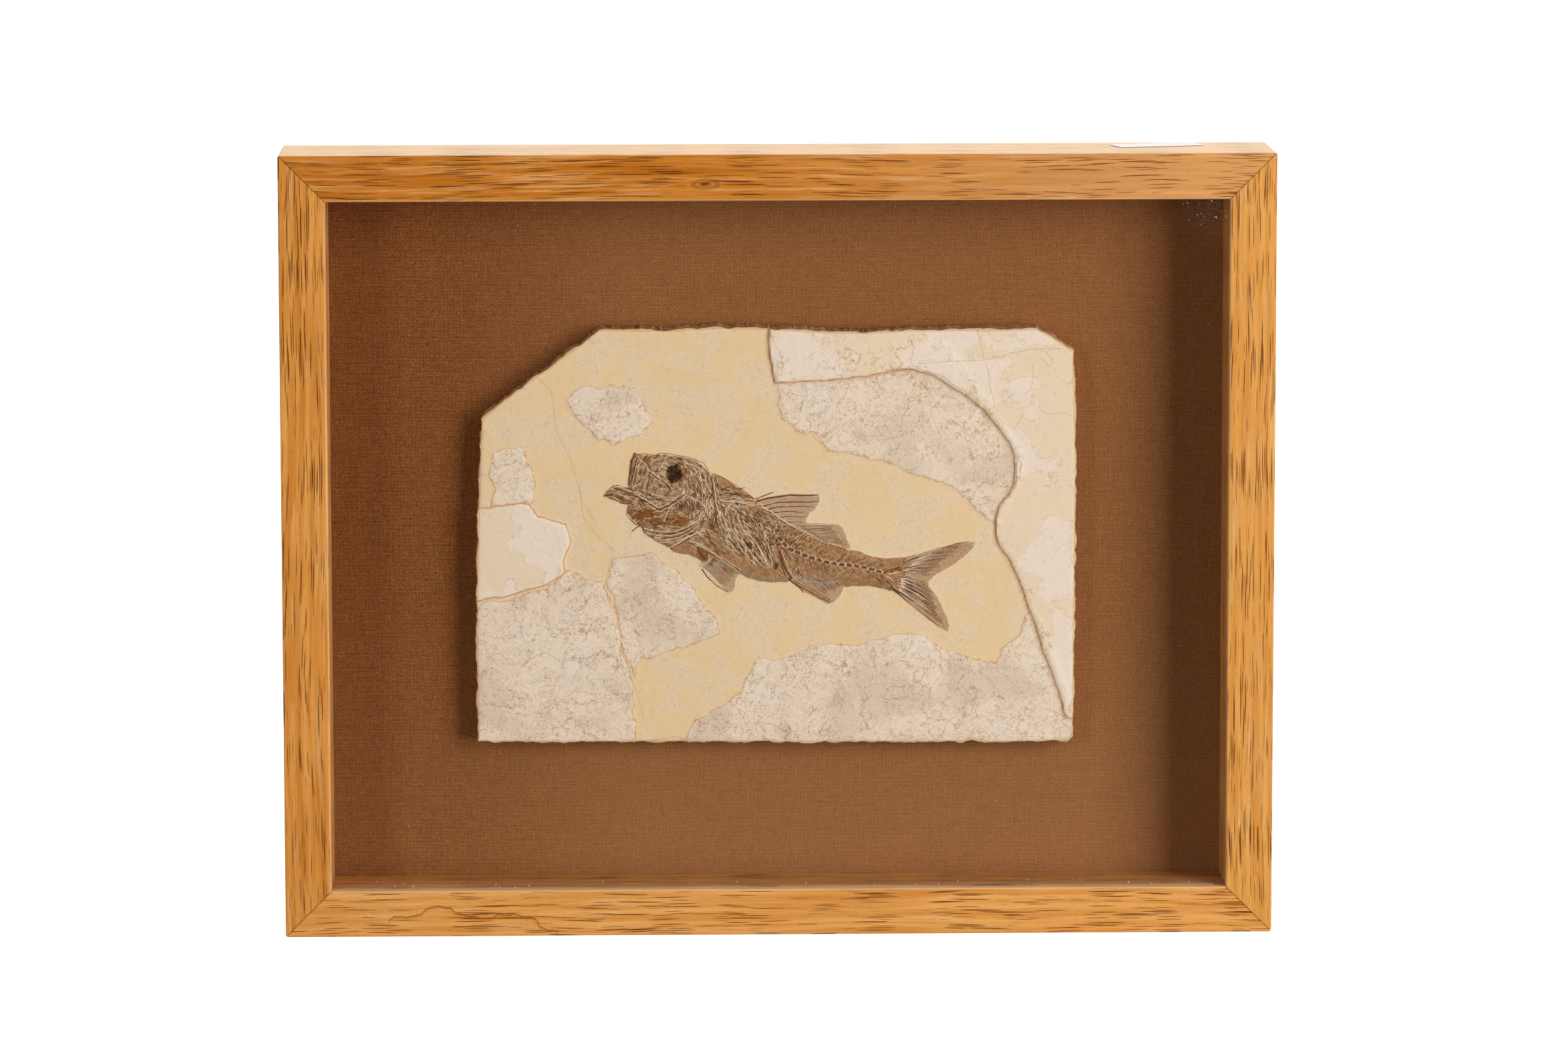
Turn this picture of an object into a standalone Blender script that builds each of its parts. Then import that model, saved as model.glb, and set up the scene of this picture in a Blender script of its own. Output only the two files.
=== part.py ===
"""A fossil fish in a limestone slab, mounted on linen in a deep oak frame behind glass.

Metres, +Z up. The frame stands on its bottom rail and faces -Y, with +X to the right.
The origin is at the centre of the footprint, on the surface that the frame stands on.
"""

import bmesh
import bpy
import math
import random
from mathutils import Matrix, Vector

MM = 0.001
GAP = 0.3 * MM                  # left between pieces that touch
WELD = 0.0001

# Frame
FRAME_WIDTH = 508 * MM
FRAME_HEIGHT = 403 * MM
FRAME_DEPTH = 63.5 * MM
RAIL_FACE = 23.8 * MM           # width of a rail seen from the front
LIP_DEPTH = 6.4 * MM            # wood in front of the glass
RABBET_WIDTH = 6.2 * MM
OUTER_ARRIS = 0.8 * MM
SIGHT_ARRIS = 0.9 * MM
BACK_ARRIS = 1.1 * MM
CORNER_CHAMFER = 1.0 * MM
HANGER_THICKNESS = 1.2 * MM

# What the rabbet holds, as depths behind the frame's front face
GLASS_THICKNESS = 2.0 * MM
LINEN_DEPTH = 44.5 * MM
CLOTH_THICKNESS = 0.8 * MM
BOARD_THICKNESS = 6.4 * MM
PANEL_THICKNESS = 3.2 * MM
RABBET_PLAY = 0.5 * MM          # around the glass, board and panel

# Small pieces behind and on top
POINT_SIZE = (6.0 * MM, 15.0 * MM, 0.5 * MM)
HANGER_SIZE = (44 * MM, 10 * MM)
HANGER_TEETH = 9
NAIL_RADIUS = 2.2 * MM
LABEL_SIZE = (45 * MM, 19 * MM, 0.12 * MM)
LABEL_PLACE = (195.6 * MM, 44.2 * MM)       # across from the middle, behind the front face
LABEL_TURN = math.radians(16)

# Slab, in millimetres across and up from its lower left corner
SLAB_LEFT = -155.4 * MM
SLAB_BOTTOM = 94.9 * MM
FISH_BED = 12.1                 # height of the cream bed that holds the fish
GREY_LAYER = 0.45               # the thin grey layer above the bed
WHITE_LAYER = 1.5               # the thick pale layer above the bed
LAYER_ROOT = 1.0                # how far a layer reaches down into the bed
EDGE_STEP = 9.0                 # spacing of points along the broken edge
EDGE_ROUGHNESS = 0.45
SEED = 11

SLAB_OUTLINE = [
    (0.2, 1.2), (0.0, 74.9), (1.8, 137.5), (3.5, 169.8), (15.0, 179.2), (31.6, 191.6), (46.3, 202.0),
    (64.0, 215.4), (96.3, 214.9), (125.6, 216.2), (151.7, 215.7), (183.0, 213.9), (200.8, 213.4),
    (221.7, 214.8), (263.6, 214.8), (288.7, 215.2), (299.2, 209.3), (308.0, 203.4), (309.6, 144.4),
    (309.1, 81.6), (308.7, 29.3), (308.5, 2.6), (305.6, 0.0), (263.4, -0.6), (257.2, 1.1), (250.9, -0.1),
    (179.8, 0.0), (106.6, 0.6), (54.4, 0.8),
]

WHITE_PLATE = [
    (151.7, 225), (151.1, 207.8), (152.7, 197.3), (154.4, 187.9), (169.4, 188.3), (192.4, 189.9),
    (211.3, 192.9), (223.8, 194.3), (236.4, 190.7), (248.9, 183.3), (261.5, 173.5), (269.8, 163.4),
    (275.7, 156.0), (278.2, 148.7), (277.1, 134.1), (269.8, 123.6), (267.7, 115.3), (269.8, 102.7),
    (276.1, 94.3), (281.3, 81.7), (288.6, 60.8), (297.4, 35.6), (304.7, 12.6), (320, 11), (320, 225),
]
LEFT_PLATE = [
    (-10, 123.0), (14.9, 123.8), (26.4, 125.5), (31.6, 118.5), (39.9, 116.0), (46.6, 114.3),
    (48.3, 105.9), (44.5, 95.5), (45.1, 89.2), (36.8, 83.0), (19.0, 78.5), (1.3, 74.9), (-10, 74.0),
]
UPPER_GREY = [
    (156.0, 192.0), (156.9, 176.4), (159.0, 168.1), (165.2, 161.8), (175.7, 160.7), (180.9, 151.2),
    (196.6, 151.2), (216.5, 143.8), (228.0, 138.5), (244.7, 135.3), (255.1, 125.8), (263.5, 116.3),
    (274.0, 118.0), (284.0, 150.0), (240.0, 200.0),
]
CHEEK_GREY = [
    (47.3, 179.0), (54.6, 187.3), (64.0, 184.2), (71.3, 185.6), (83.8, 184.1), (86.9, 174.7),
    (91.1, 166.3), (83.8, 161.1), (71.3, 157.0), (60.8, 161.2), (52.5, 168.6),
]
EDGE_GREY = [
    (8.3, 151.0), (23.3, 155.1), (29.1, 145.7), (30.6, 134.2), (27.4, 125.9), (17.0, 124.8), (8.7, 124.9),
]
LOWER_LEFT_GREY = [
    (-10, 70.0), (19.0, 76.0), (36.8, 80.5), (46.0, 90.0), (65.2, 83.2), (69.6, 73.5), (72.8, 66.1),
    (73.8, 51.5), (76.9, 41.0), (81.0, 30.6), (82.0, -10), (-10, -10),
]
LOBE_GREY = [
    (70.2, 97.5), (90.0, 98.4), (106.7, 86.8), (121.3, 68.0), (125.5, 57.5), (108.8, 51.3),
    (96.2, 48.2), (83.7, 41.0), (82.6, 33.0), (78.4, 41.0), (75.3, 51.5), (74.3, 66.1), (68.0, 82.9),
]
BOTTOM_GREY = [
    (107.7, -10), (107.9, 1.2), (111.9, 11.6), (125.4, 19.9), (134.8, 26.1), (138.0, 34.4),
    (144.3, 42.8), (158.9, 44.8), (173.5, 51.0), (200.7, 50.8), (215.3, 58.0), (227.9, 54.8),
    (248.8, 46.4), (267.7, 40.0), (270.8, 44.1), (269.7, 47.3), (280.2, 56.6), (283.4, 67.1),
    (291.0, 66.0), (312.0, 8.0), (312.0, -10),
]
LAYERS = {
    "lower_left_grey": (LOWER_LEFT_GREY, GREY_LAYER),
    "lobe_grey": (LOBE_GREY, GREY_LAYER * 0.8),
    "bottom_grey": (BOTTOM_GREY, GREY_LAYER * 1.1),
    "cheek_grey": (CHEEK_GREY, GREY_LAYER),
    "edge_grey": (EDGE_GREY, GREY_LAYER * 0.9),
    "upper_grey": (UPPER_GREY, GREY_LAYER * 1.2),
    "left_plate": (LEFT_PLATE, WHITE_LAYER * 0.6),
    "white_plate": (WHITE_PLATE, WHITE_LAYER),
}

# Fish: back and belly lines in pairs from the snout to the tail's root, and the relief there
FISH_BACK = [
    (81.5, 150.6), (88.0, 150.2), (95.0, 150.2), (102.4, 149.9), (109.0, 148.8), (115.0, 146.5),
    (119.5, 142.2), (125.4, 139.4), (133.3, 134.3), (143.4, 127.7), (152.6, 119.4), (163.7, 112.4),
    (174.8, 106.3), (184.0, 103.0), (193.2, 101.3), (200.0, 98.6), (206.0, 96.7), (213.5, 96.0),
]
FISH_BELLY = [
    (79.0, 117.0), (84.5, 112.6), (90.3, 107.7), (97.0, 104.0), (103.0, 101.0), (109.5, 98.8),
    (115.0, 95.5), (121.0, 92.0), (129.0, 89.0), (137.0, 87.6), (146.1, 84.3), (158.0, 83.8),
    (170.0, 85.4), (181.7, 83.2), (191.0, 81.6), (199.0, 81.9), (206.3, 80.9), (213.5, 79.7),
]
FISH_RELIEF = [
    1.5, 1.8, 1.9, 1.9, 1.9, 1.8, 1.7, 1.6, 1.6, 1.6, 1.5, 1.5, 1.4, 1.4, 1.3, 1.2, 1.1, 0.9,
]
FISH_ROOT = 0.5                 # how far the fish reaches down into its bed
FISH_SECTION = [(0.0, -1.0), (0.05, 0.35), (0.16, 0.8), (0.35, 0.97), (0.6, 1.0), (0.84, 0.85),
                (0.95, 0.4), (1.0, -1.0)]
FIN_RELIEF = 0.4

LOWER_JAW = [
    (65.7, 129.1), (67.3, 131.4), (69.1, 133.2), (71.9, 134.1), (79.3, 133.2), (86.0, 130.0),
    (93.4, 123.6), (86.7, 121.0), (78.3, 124.7), (71.4, 126.8),
]
UPPER_JAW = [(80.7, 150.9), (82.8, 150.9), (81.4, 144.3), (79.9, 136.4), (78.1, 134.1), (78.5, 139.7),
             (79.4, 146.6)]
FIRST_DORSAL = [
    (143.4, 127.2), (149.9, 127.6), (156.3, 128.8), (165.6, 129.7), (176.2, 129.5), (177.4, 128.5),
    (177.1, 125.3), (174.4, 121.6), (171.6, 119.3), (170.2, 116.5), (170.7, 114.0), (163.7, 110.5),
    (152.6, 117.0),
]
SECOND_DORSAL = [
    (163.7, 112.9), (171.6, 113.7), (180.8, 114.0), (186.6, 114.1), (188.7, 112.3), (190.5, 109.0),
    (191.8, 105.0), (193.6, 101.5), (189.0, 100.5), (174.8, 104.5), (163.7, 110.5),
]
ANAL_FIN = [
    (160.5, 86.5), (164.5, 82.0), (168.5, 79.2), (176.0, 75.4), (183.5, 72.4), (186.6, 75.0),
    (188.4, 78.0), (190.4, 82.5), (181.7, 84.5), (170.0, 86.5),
]
PELVIC_FIN = [
    (114.6, 97.0), (116.6, 92.0), (119.4, 89.6), (124.9, 83.2), (130.2, 78.3), (133.2, 80.2),
    (133.9, 85.8), (136.5, 88.8), (124.0, 93.5),
]
TAIL_FIN = [
    (210.0, 96.0), (218.2, 96.3), (227.1, 98.0), (239.0, 101.5), (246.7, 103.5), (252.1, 104.4),
    (257.4, 104.5), (256.8, 102.0), (253.2, 97.9), (247.3, 93.1), (241.3, 89.6), (236.0, 86.7),
    (233.6, 83.7), (234.2, 80.7), (237.8, 76.0), (240.7, 70.0), (243.1, 65.2), (244.3, 60.5),
    (243.4, 57.2), (238.9, 59.9), (233.0, 64.1), (227.1, 69.5), (221.1, 74.9), (216.4, 77.9),
    (210.0, 80.2),
]
EYE_CENTRE = (102.6, 140.6)
EYE_RADIUS = 4.6

SPINE = [
    (122.0, 123.5), (130.9, 119.6), (137.9, 115.3), (145.2, 110.6), (151.7, 106.9), (158.2, 102.7),
    (163.7, 99.6), (169.3, 97.1), (174.8, 95.2), (181.7, 93.4), (188.7, 91.9), (195.6, 91.0),
    (202.1, 89.8), (209.2, 88.4), (213.5, 87.6),
]
VERTEBRAE = 27

# Fins' rays: the two ends of the line that they start on, of the line that they end on, and how many
RAYS = {
    "first_dorsal": ((144.3, 125.4), (161.0, 114.4), (176.4, 129.0), (169.3, 114.4), 7, 0.55),
    "second_dorsal": ((164.5, 111.9), (186.0, 103.6), (184.0, 113.7), (192.6, 102.8), 11, 0.3),
    "anal": ((161.9, 85.2), (185.0, 83.5), (181.5, 73.6), (189.2, 81.4), 10, 0.32),
    "pelvic": ((118.0, 92.0), (123.0, 91.5), (129.8, 79.2), (133.6, 86.6), 6, 0.35),
    "tail_above": ((215.0, 93.8), (217.0, 89.0), (255.6, 103.8), (236.8, 87.6), 9, 0.36),
    "tail_below": ((216.5, 88.0), (215.0, 80.6), (235.2, 81.0), (243.0, 58.4), 9, 0.36),
}

# Single bones: points along each, its radius at the start and at the end, its height over the bed
BONES = [
    ([(154.3, 107.0), (156.8, 100.0), (158.6, 93.9), (161.9, 85.6)], 0.6, 0.8, 1.5),
    ([(161.9, 85.6), (168.3, 80.4), (174.8, 77.1), (182.5, 73.6)], 0.85, 0.35, 0.4),
    ([(142.0, 127.0), (148.9, 129.1), (153.6, 130.5)], 0.5, 0.3, 0.2),
    ([(84.8, 128.1), (93.6, 123.0), (100.0, 126.2), (107.0, 130.3)], 0.6, 0.5, 1.9),
    ([(99.6, 103.2), (109.3, 108.1), (116.2, 115.9), (122.2, 122.4), (122.9, 131.0), (120.5, 139.0)],
     0.6, 0.6, 1.6),
    ([(87.5, 113.3), (90.3, 110.6), (95.9, 109.4), (102.3, 109.5), (109.3, 111.8), (116.2, 116.8)],
     0.5, 0.5, 1.7),
    ([(90.0, 108.9), (92.2, 107.8), (97.7, 105.9), (104.2, 106.7), (110.6, 110.4)], 0.5, 0.4, 1.5),
    ([(88.2, 116.1), (83.0, 113.3), (80.0, 111.0)], 0.45, 0.3, 0.2),
    ([(119.4, 99.9), (124.9, 96.9), (136.9, 90.0)], 0.5, 0.3, 1.5),
]
RIB_HEADS = ((127.0, 109.0), (152.5, 105.0))
RIB_TIPS = ((137.0, 93.5), (155.5, 91.0))
RIBS = 9
SPINES_ABOVE = ((134.0, 119.0), (207.0, 89.5), 20, (4.5, 6.5))    # ends, how many, how they lean
SPINES_BELOW = ((160.0, 101.0), (207.0, 88.0), 13, (5.0, -5.5))

COLOURS = {
    "oak": ((0.62, 0.36, 0.15), 0.45, 0.0),
    "spacer_oak": ((0.42, 0.24, 0.11), 0.55, 0.0),
    "glass": ((0.95, 0.97, 0.96), 0.02, 0.0),
    "linen": ((0.20, 0.09, 0.035), 0.9, 0.0),
    "board": ((0.75, 0.73, 0.68), 0.8, 0.0),
    "limestone": ((0.76, 0.63, 0.42), 0.85, 0.0),
    "hardboard": ((0.30, 0.19, 0.11), 0.7, 0.0),
    "steel": ((0.62, 0.62, 0.62), 0.35, 1.0),
    "label": ((0.85, 0.84, 0.82), 0.6, 0.0),
}

FRONT = -(FRAME_DEPTH + HANGER_THICKNESS + GAP) / 2      # the frame's front face
BACK = FRONT + FRAME_DEPTH
OPENING_WIDTH = FRAME_WIDTH - 2 * RAIL_FACE
OPENING_HEIGHT = FRAME_HEIGHT - 2 * RAIL_FACE
PANE_WIDTH = OPENING_WIDTH + 2 * (RABBET_WIDTH - RABBET_PLAY)
PANE_HEIGHT = OPENING_HEIGHT + 2 * (RABBET_WIDTH - RABBET_PLAY)
MIDDLE = FRAME_HEIGHT / 2


# ---------------------------------------------------------------- scene and materials

def clear_scene():
    for thing in list(bpy.data.objects):
        bpy.data.objects.remove(thing, do_unlink=True)


def new_collection(name, hidden=False):
    group = bpy.data.collections.new(name)
    bpy.context.scene.collection.children.link(group)
    group.hide_render = hidden
    return group


def finish_of(slot):
    colour, roughness, metallic = COLOURS[slot]
    material = bpy.data.materials.get(slot) or bpy.data.materials.new(slot)
    material.use_nodes = True
    shader = material.node_tree.nodes["Principled BSDF"]
    shader.inputs["Base Color"].default_value = (*colour, 1.0)
    shader.inputs["Roughness"].default_value = roughness
    shader.inputs["Metallic"].default_value = metallic
    if slot == "glass":
        shader.inputs["Transmission Weight"].default_value = 1.0
    material.diffuse_color = (*colour, 1.0)
    return material


def add_part(name, mesh, slot):
    part = bpy.data.objects.new(name, mesh)
    part.data.name = name
    part.data.materials.clear()
    part.data.materials.append(finish_of(slot))
    parts.objects.link(part)
    return part


# ---------------------------------------------------------------- shapes

def box_mesh(name, low, high):
    """A box between two corners."""
    low, high = Vector(low), Vector(high)
    work = bmesh.new()
    bmesh.ops.create_cube(work, size=1.0)
    size = high - low
    bmesh.ops.scale(work, vec=size, verts=work.verts)
    bmesh.ops.translate(work, vec=(low + high) / 2, verts=work.verts)
    mesh = bpy.data.meshes.new(name)
    work.to_mesh(mesh)
    work.free()
    return mesh


def mesh_of_curve(curve):
    """The closed mesh of a curve with a bevel or an extrude, its caps welded on."""
    holder = bpy.data.objects.new(curve.name, curve)
    cutters.objects.link(holder)
    view = bpy.context.evaluated_depsgraph_get()
    mesh = bpy.data.meshes.new_from_object(holder.evaluated_get(view))
    bpy.data.objects.remove(holder)
    work = bmesh.new()
    work.from_mesh(mesh)
    bmesh.ops.remove_doubles(work, verts=work.verts, dist=WELD)
    bmesh.ops.recalc_face_normals(work, faces=work.faces)
    work.to_mesh(mesh)
    work.free()
    return mesh


def prism_mesh(name, outline, low, high):
    """A flat outline made solid between two heights."""
    curve = bpy.data.curves.new(name, "CURVE")
    curve.dimensions = "2D"
    curve.fill_mode = "BOTH"
    curve.extrude = (high - low) / 2
    line = curve.splines.new("POLY")
    line.points.add(len(outline) - 1)
    for point, (x, y) in zip(line.points, outline):
        point.co = (x, y, 0, 1)
    line.use_cyclic_u = True
    mesh = mesh_of_curve(curve)
    mesh.transform(Matrix.Translation((0, 0, (low + high) / 2)))
    return mesh


def rounded(corners, steps=3):
    """An outline whose corners, given as (x, y, radius), are arcs."""
    outline = []
    for i, (x, y, radius) in enumerate(corners):
        corner = Vector((x, y))
        before = (Vector(corners[i - 1][:2]) - corner).normalized()
        after = (Vector(corners[(i + 1) % len(corners)][:2]) - corner).normalized()
        if radius == 0:
            outline.append(tuple(corner))
            continue
        centre = corner + (before + after) * radius
        for step in range(steps + 1):
            turn = math.pi / 2 * step / steps
            outline.append(tuple(centre - after * radius * math.cos(turn) - before * radius * math.sin(turn)))
    return outline


def boolean(part, other, operation):
    """Joins, cuts or trims a part with another mesh, and keeps the result as its mesh."""
    cutter = bpy.data.objects.new("cutter", other)
    cutters.objects.link(cutter)
    modifier = part.modifiers.new(operation.lower(), "BOOLEAN")
    modifier.operation = operation
    modifier.object = cutter
    modifier.solver = "EXACT"
    modifier.use_self = operation == "UNION"
    view = bpy.context.evaluated_depsgraph_get()
    result = bpy.data.meshes.new_from_object(part.evaluated_get(view))
    part.modifiers.clear()
    part.data = result
    bpy.data.objects.remove(cutter)


def along(points, share):
    """The point at a share of the length of a line of points."""
    points = [Vector(p) for p in points]
    lengths = [(b - a).length for a, b in zip(points, points[1:])]
    left = share * sum(lengths)
    for start, end, length in zip(points, points[1:], lengths):
        if left <= length:
            return start.lerp(end, left / length)
        left -= length
    return points[-1]


# ---------------------------------------------------------------- frame

def make_rail(name, length, turn, place):
    """One moulding: it runs along X with its outer edge down, is mitred, turned and placed."""
    inner = RAIL_FACE - RABBET_WIDTH
    profile = rounded([
        (FRONT, 0, OUTER_ARRIS), (FRONT, RAIL_FACE, SIGHT_ARRIS), (FRONT + LIP_DEPTH, RAIL_FACE, 0),
        (FRONT + LIP_DEPTH, inner, 0), (BACK, inner, 0), (BACK, 0, BACK_ARRIS),
    ])
    mesh = prism_mesh(name, profile, -length / 2, length / 2)
    work = bmesh.new()
    work.from_mesh(mesh)
    lying = Matrix(((0, 0, 1, 0), (1, 0, 0, 0), (0, 1, 0, 0), (0, 0, 0, 1)))
    bmesh.ops.transform(work, matrix=lying, verts=work.verts)
    for side in (-1, 1):
        end = Vector((side * (length / 2 - GAP / math.sqrt(2)), 0, 0))
        cut_end(work, end, Vector((side, 0, 1)))
        corner = Vector((side * (length / 2 - CORNER_CHAMFER), 0, 0))
        cut_end(work, corner, Vector((side, 0, -1)))
    bmesh.ops.recalc_face_normals(work, faces=work.faces)
    work.to_mesh(mesh)
    work.free()
    rail = add_part(name, mesh, "oak")
    rail.rotation_euler = (0, turn, 0)
    rail.location = place
    return rail


def cut_end(work, point, outward):
    everything = work.verts[:] + work.edges[:] + work.faces[:]
    bmesh.ops.bisect_plane(work, geom=everything, plane_co=point, plane_no=outward.normalized(),
                           clear_outer=True)
    rim = [edge for edge in work.edges if edge.is_boundary]
    bmesh.ops.holes_fill(work, edges=rim, sides=0)


def make_frame():
    half = FRAME_WIDTH / 2
    make_rail("bottom_rail", FRAME_WIDTH, 0, (0, 0, 0))
    make_rail("top_rail", FRAME_WIDTH, math.pi, (0, 0, FRAME_HEIGHT))
    make_rail("left_rail", FRAME_HEIGHT, math.pi / 2, (-half, 0, MIDDLE))
    make_rail("right_rail", FRAME_HEIGHT, -math.pi / 2, (half, 0, MIDDLE))


def make_glass():
    near = FRONT + LIP_DEPTH + GAP
    add_part("glass", sheet_mesh("glass", near, GLASS_THICKNESS), "glass")


def sheet_mesh(name, near, thickness, inset=0.0):
    """A flat rectangle that fills the rabbet, from a depth backwards."""
    across = PANE_WIDTH / 2 - inset
    up = PANE_HEIGHT / 2 - inset
    return box_mesh(name, (-across, near, MIDDLE - up), (across, near + thickness, MIDDLE + up))


def make_spacers():
    """Strips flush with the sight edge, from behind the glass to the linen."""
    near = FRONT + LIP_DEPTH + 2 * GAP + GLASS_THICKNESS
    far = FRONT + LINEN_DEPTH - GAP
    inner_x, inner_z = OPENING_WIDTH / 2, OPENING_HEIGHT / 2
    outer_x, outer_z = PANE_WIDTH / 2, PANE_HEIGHT / 2
    ends = {
        "bottom_spacer": ((-outer_x, MIDDLE - outer_z), (outer_x, MIDDLE - inner_z)),
        "top_spacer": ((-outer_x, MIDDLE + inner_z), (outer_x, MIDDLE + outer_z)),
        "left_spacer": ((-outer_x, MIDDLE - inner_z + GAP), (-inner_x, MIDDLE + inner_z - GAP)),
        "right_spacer": ((inner_x, MIDDLE - inner_z + GAP), (outer_x, MIDDLE + inner_z - GAP)),
    }
    for name, (low, high) in ends.items():
        mesh = box_mesh(name, (low[0], near, low[1]), (high[0], far, high[1]))
        add_part(name, mesh, "spacer_oak")


def make_backing():
    """The linen stretched over its board, and the panel behind them."""
    linen = add_part("linen", sheet_mesh("linen", FRONT + LINEN_DEPTH, CLOTH_THICKNESS + BOARD_THICKNESS),
                     "linen")
    work = bmesh.new()
    work.from_mesh(linen.data)
    behind = [face for face in work.faces if face.normal.y > 0.9]
    bmesh.ops.delete(work, geom=behind, context="FACES")
    work.to_mesh(linen.data)
    work.free()
    wall = linen.modifiers.new("cloth", "SOLIDIFY")
    wall.thickness = CLOTH_THICKNESS
    wall.offset = -1
    wall.use_even_offset = True
    board_near = FRONT + LINEN_DEPTH + CLOTH_THICKNESS + GAP
    board = sheet_mesh("mount_board", board_near, BOARD_THICKNESS, CLOTH_THICKNESS + GAP)
    add_part("mount_board", board, "board")
    panel_near = board_near + BOARD_THICKNESS + GAP
    add_part("back_panel", sheet_mesh("back_panel", panel_near, PANEL_THICKNESS), "hardboard")
    return panel_near + PANEL_THICKNESS


def make_points(near):
    """Thin steel points that lie on the panel with their tips at the rabbet's wall."""
    width, reach, thickness = POINT_SIZE
    across = PANE_WIDTH / 2 - RABBET_PLAY
    up = PANE_HEIGHT / 2 - RABBET_PLAY
    places = []
    for share in (-0.6, 0.0, 0.6):
        places.append((share * across, MIDDLE + up, 0))
        places.append((share * across, MIDDLE - up, math.pi))
    for share in (-0.45, 0.45):
        places.append((across, MIDDLE + share * up, math.pi / 2))
        places.append((-across, MIDDLE + share * up, -math.pi / 2))
    outline = [(-width / 2, -reach), (width / 2, -reach), (width / 2, -2 * MM), (0.8 * MM, 0),
               (-0.8 * MM, 0), (-width / 2, -2 * MM)]
    for number, (x, z, turn) in enumerate(places, 1):
        mesh = prism_mesh(f"point_{number}", outline, 0, thickness)
        mesh.transform(Matrix.Rotation(math.pi / 2, 4, "X"))
        point = add_part(mesh.name, mesh, "steel")
        point.rotation_euler = (0, turn, 0)
        point.location = (x, near + GAP + thickness, z)


def make_hanger():
    """A sawtooth plate on the back of the top rail, with a nail at each end."""
    width, height = HANGER_SIZE
    centre = Vector((0, BACK + GAP, FRAME_HEIGHT - (RAIL_FACE - RABBET_WIDTH) / 2))
    half = width / 2
    slot_half = half - 9 * MM
    pitch = 2 * slot_half / HANGER_TEETH
    outline = [(half, -height / 2), (half, height / 2), (-half, height / 2), (-half, -height / 2)]
    outline.append((-slot_half, -height / 2))
    for tooth in range(HANGER_TEETH):
        left = -slot_half + tooth * pitch
        outline.append((left, -height / 2 + 0.5 * MM))
        arch = 0.06 * MM * abs(tooth - HANGER_TEETH // 2)
        outline.append((left + pitch / 2, -height / 2 + 2.8 * MM - arch))
    outline.append((slot_half, -height / 2 + 0.5 * MM))
    outline.append((slot_half, -height / 2))
    mesh = prism_mesh("sawtooth_hanger", outline, 0, HANGER_THICKNESS * 0.6)
    mesh.transform(Matrix.Rotation(math.pi / 2, 4, "X"))
    hanger = add_part("sawtooth_hanger", mesh, "steel")
    hanger.location = centre + Vector((0, HANGER_THICKNESS * 0.6, 0))
    for side, name in ((-1, "hanger_nail_left"), (1, "hanger_nail_right")):
        hole = bmesh.new()
        bmesh.ops.create_cone(hole, cap_ends=True, segments=16, radius1=NAIL_RADIUS + GAP,
                              radius2=NAIL_RADIUS + GAP, depth=4 * MM)
        bmesh.ops.rotate(hole, cent=(0, 0, 0), matrix=Matrix.Rotation(math.pi / 2, 3, "X"),
                         verts=hole.verts)
        bmesh.ops.translate(hole, vec=centre + Vector((side * (half - 4.5 * MM), 0, 0)), verts=hole.verts)
        hole_mesh = bpy.data.meshes.new("hole")
        hole.to_mesh(hole_mesh)
        hole.free()
        boolean(hanger, hole_mesh, "DIFFERENCE")
        head = bmesh.new()
        bmesh.ops.create_cone(head, cap_ends=True, segments=16, radius1=NAIL_RADIUS,
                              radius2=NAIL_RADIUS * 0.75, depth=HANGER_THICKNESS)
        bmesh.ops.rotate(head, cent=(0, 0, 0), matrix=Matrix.Rotation(-math.pi / 2, 3, "X"),
                         verts=head.verts)
        nail_mesh = bpy.data.meshes.new(name)
        head.to_mesh(nail_mesh)
        head.free()
        nail = add_part(name, nail_mesh, "steel")
        nail.location = centre + Vector((side * (half - 4.5 * MM), HANGER_THICKNESS / 2, 0))


def make_label():
    """A blank paper label, stuck askew on top of the frame."""
    width, length, thickness = LABEL_SIZE
    corner = Vector((width / 2, length / 2, 0))
    label = add_part("paper_label", box_mesh("paper_label", -corner, corner + Vector((0, 0, thickness))),
                     "label")
    across, behind = LABEL_PLACE
    label.location = (across, FRONT + behind, FRAME_HEIGHT + GAP)
    label.rotation_euler = (0, 0, LABEL_TURN)


# ---------------------------------------------------------------- slab

def broken_edge():
    """A prism with the slab's outline and the small roughness of broken stone."""
    chance = random.Random(SEED)
    corners = [Vector(p) for p in SLAB_OUTLINE]
    rim = []
    for start, end in zip(corners, corners[1:] + corners[:1]):
        pieces = max(1, round((end - start).length / EDGE_STEP))
        rim += [start.lerp(end, i / pieces) for i in range(pieces)]
    work = bmesh.new()
    rows = []
    for height in (-1.0, FISH_BED * 0.35, FISH_BED * 0.7, FISH_BED + WHITE_LAYER * 2):
        row = []
        for place in rim:
            x = place.x + chance.uniform(-EDGE_ROUGHNESS, EDGE_ROUGHNESS)
            y = place.y + chance.uniform(-EDGE_ROUGHNESS, EDGE_ROUGHNESS)
            row.append(work.verts.new((x, y, height)))
        rows.append(row)
    for row, following in zip(rows, rows[1:]):
        for i in range(len(row)):
            work.faces.new((row[i - 1], row[i], following[i], following[i - 1]))
    work.faces.new(rows[0])
    work.faces.new(rows[-1])
    bmesh.ops.triangulate(work, faces=[face for face in work.faces if len(face.verts) == 4])
    bmesh.ops.recalc_face_normals(work, faces=work.faces)
    mesh = bpy.data.meshes.new("broken_edge")
    work.to_mesh(mesh)
    work.free()
    return mesh


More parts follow.
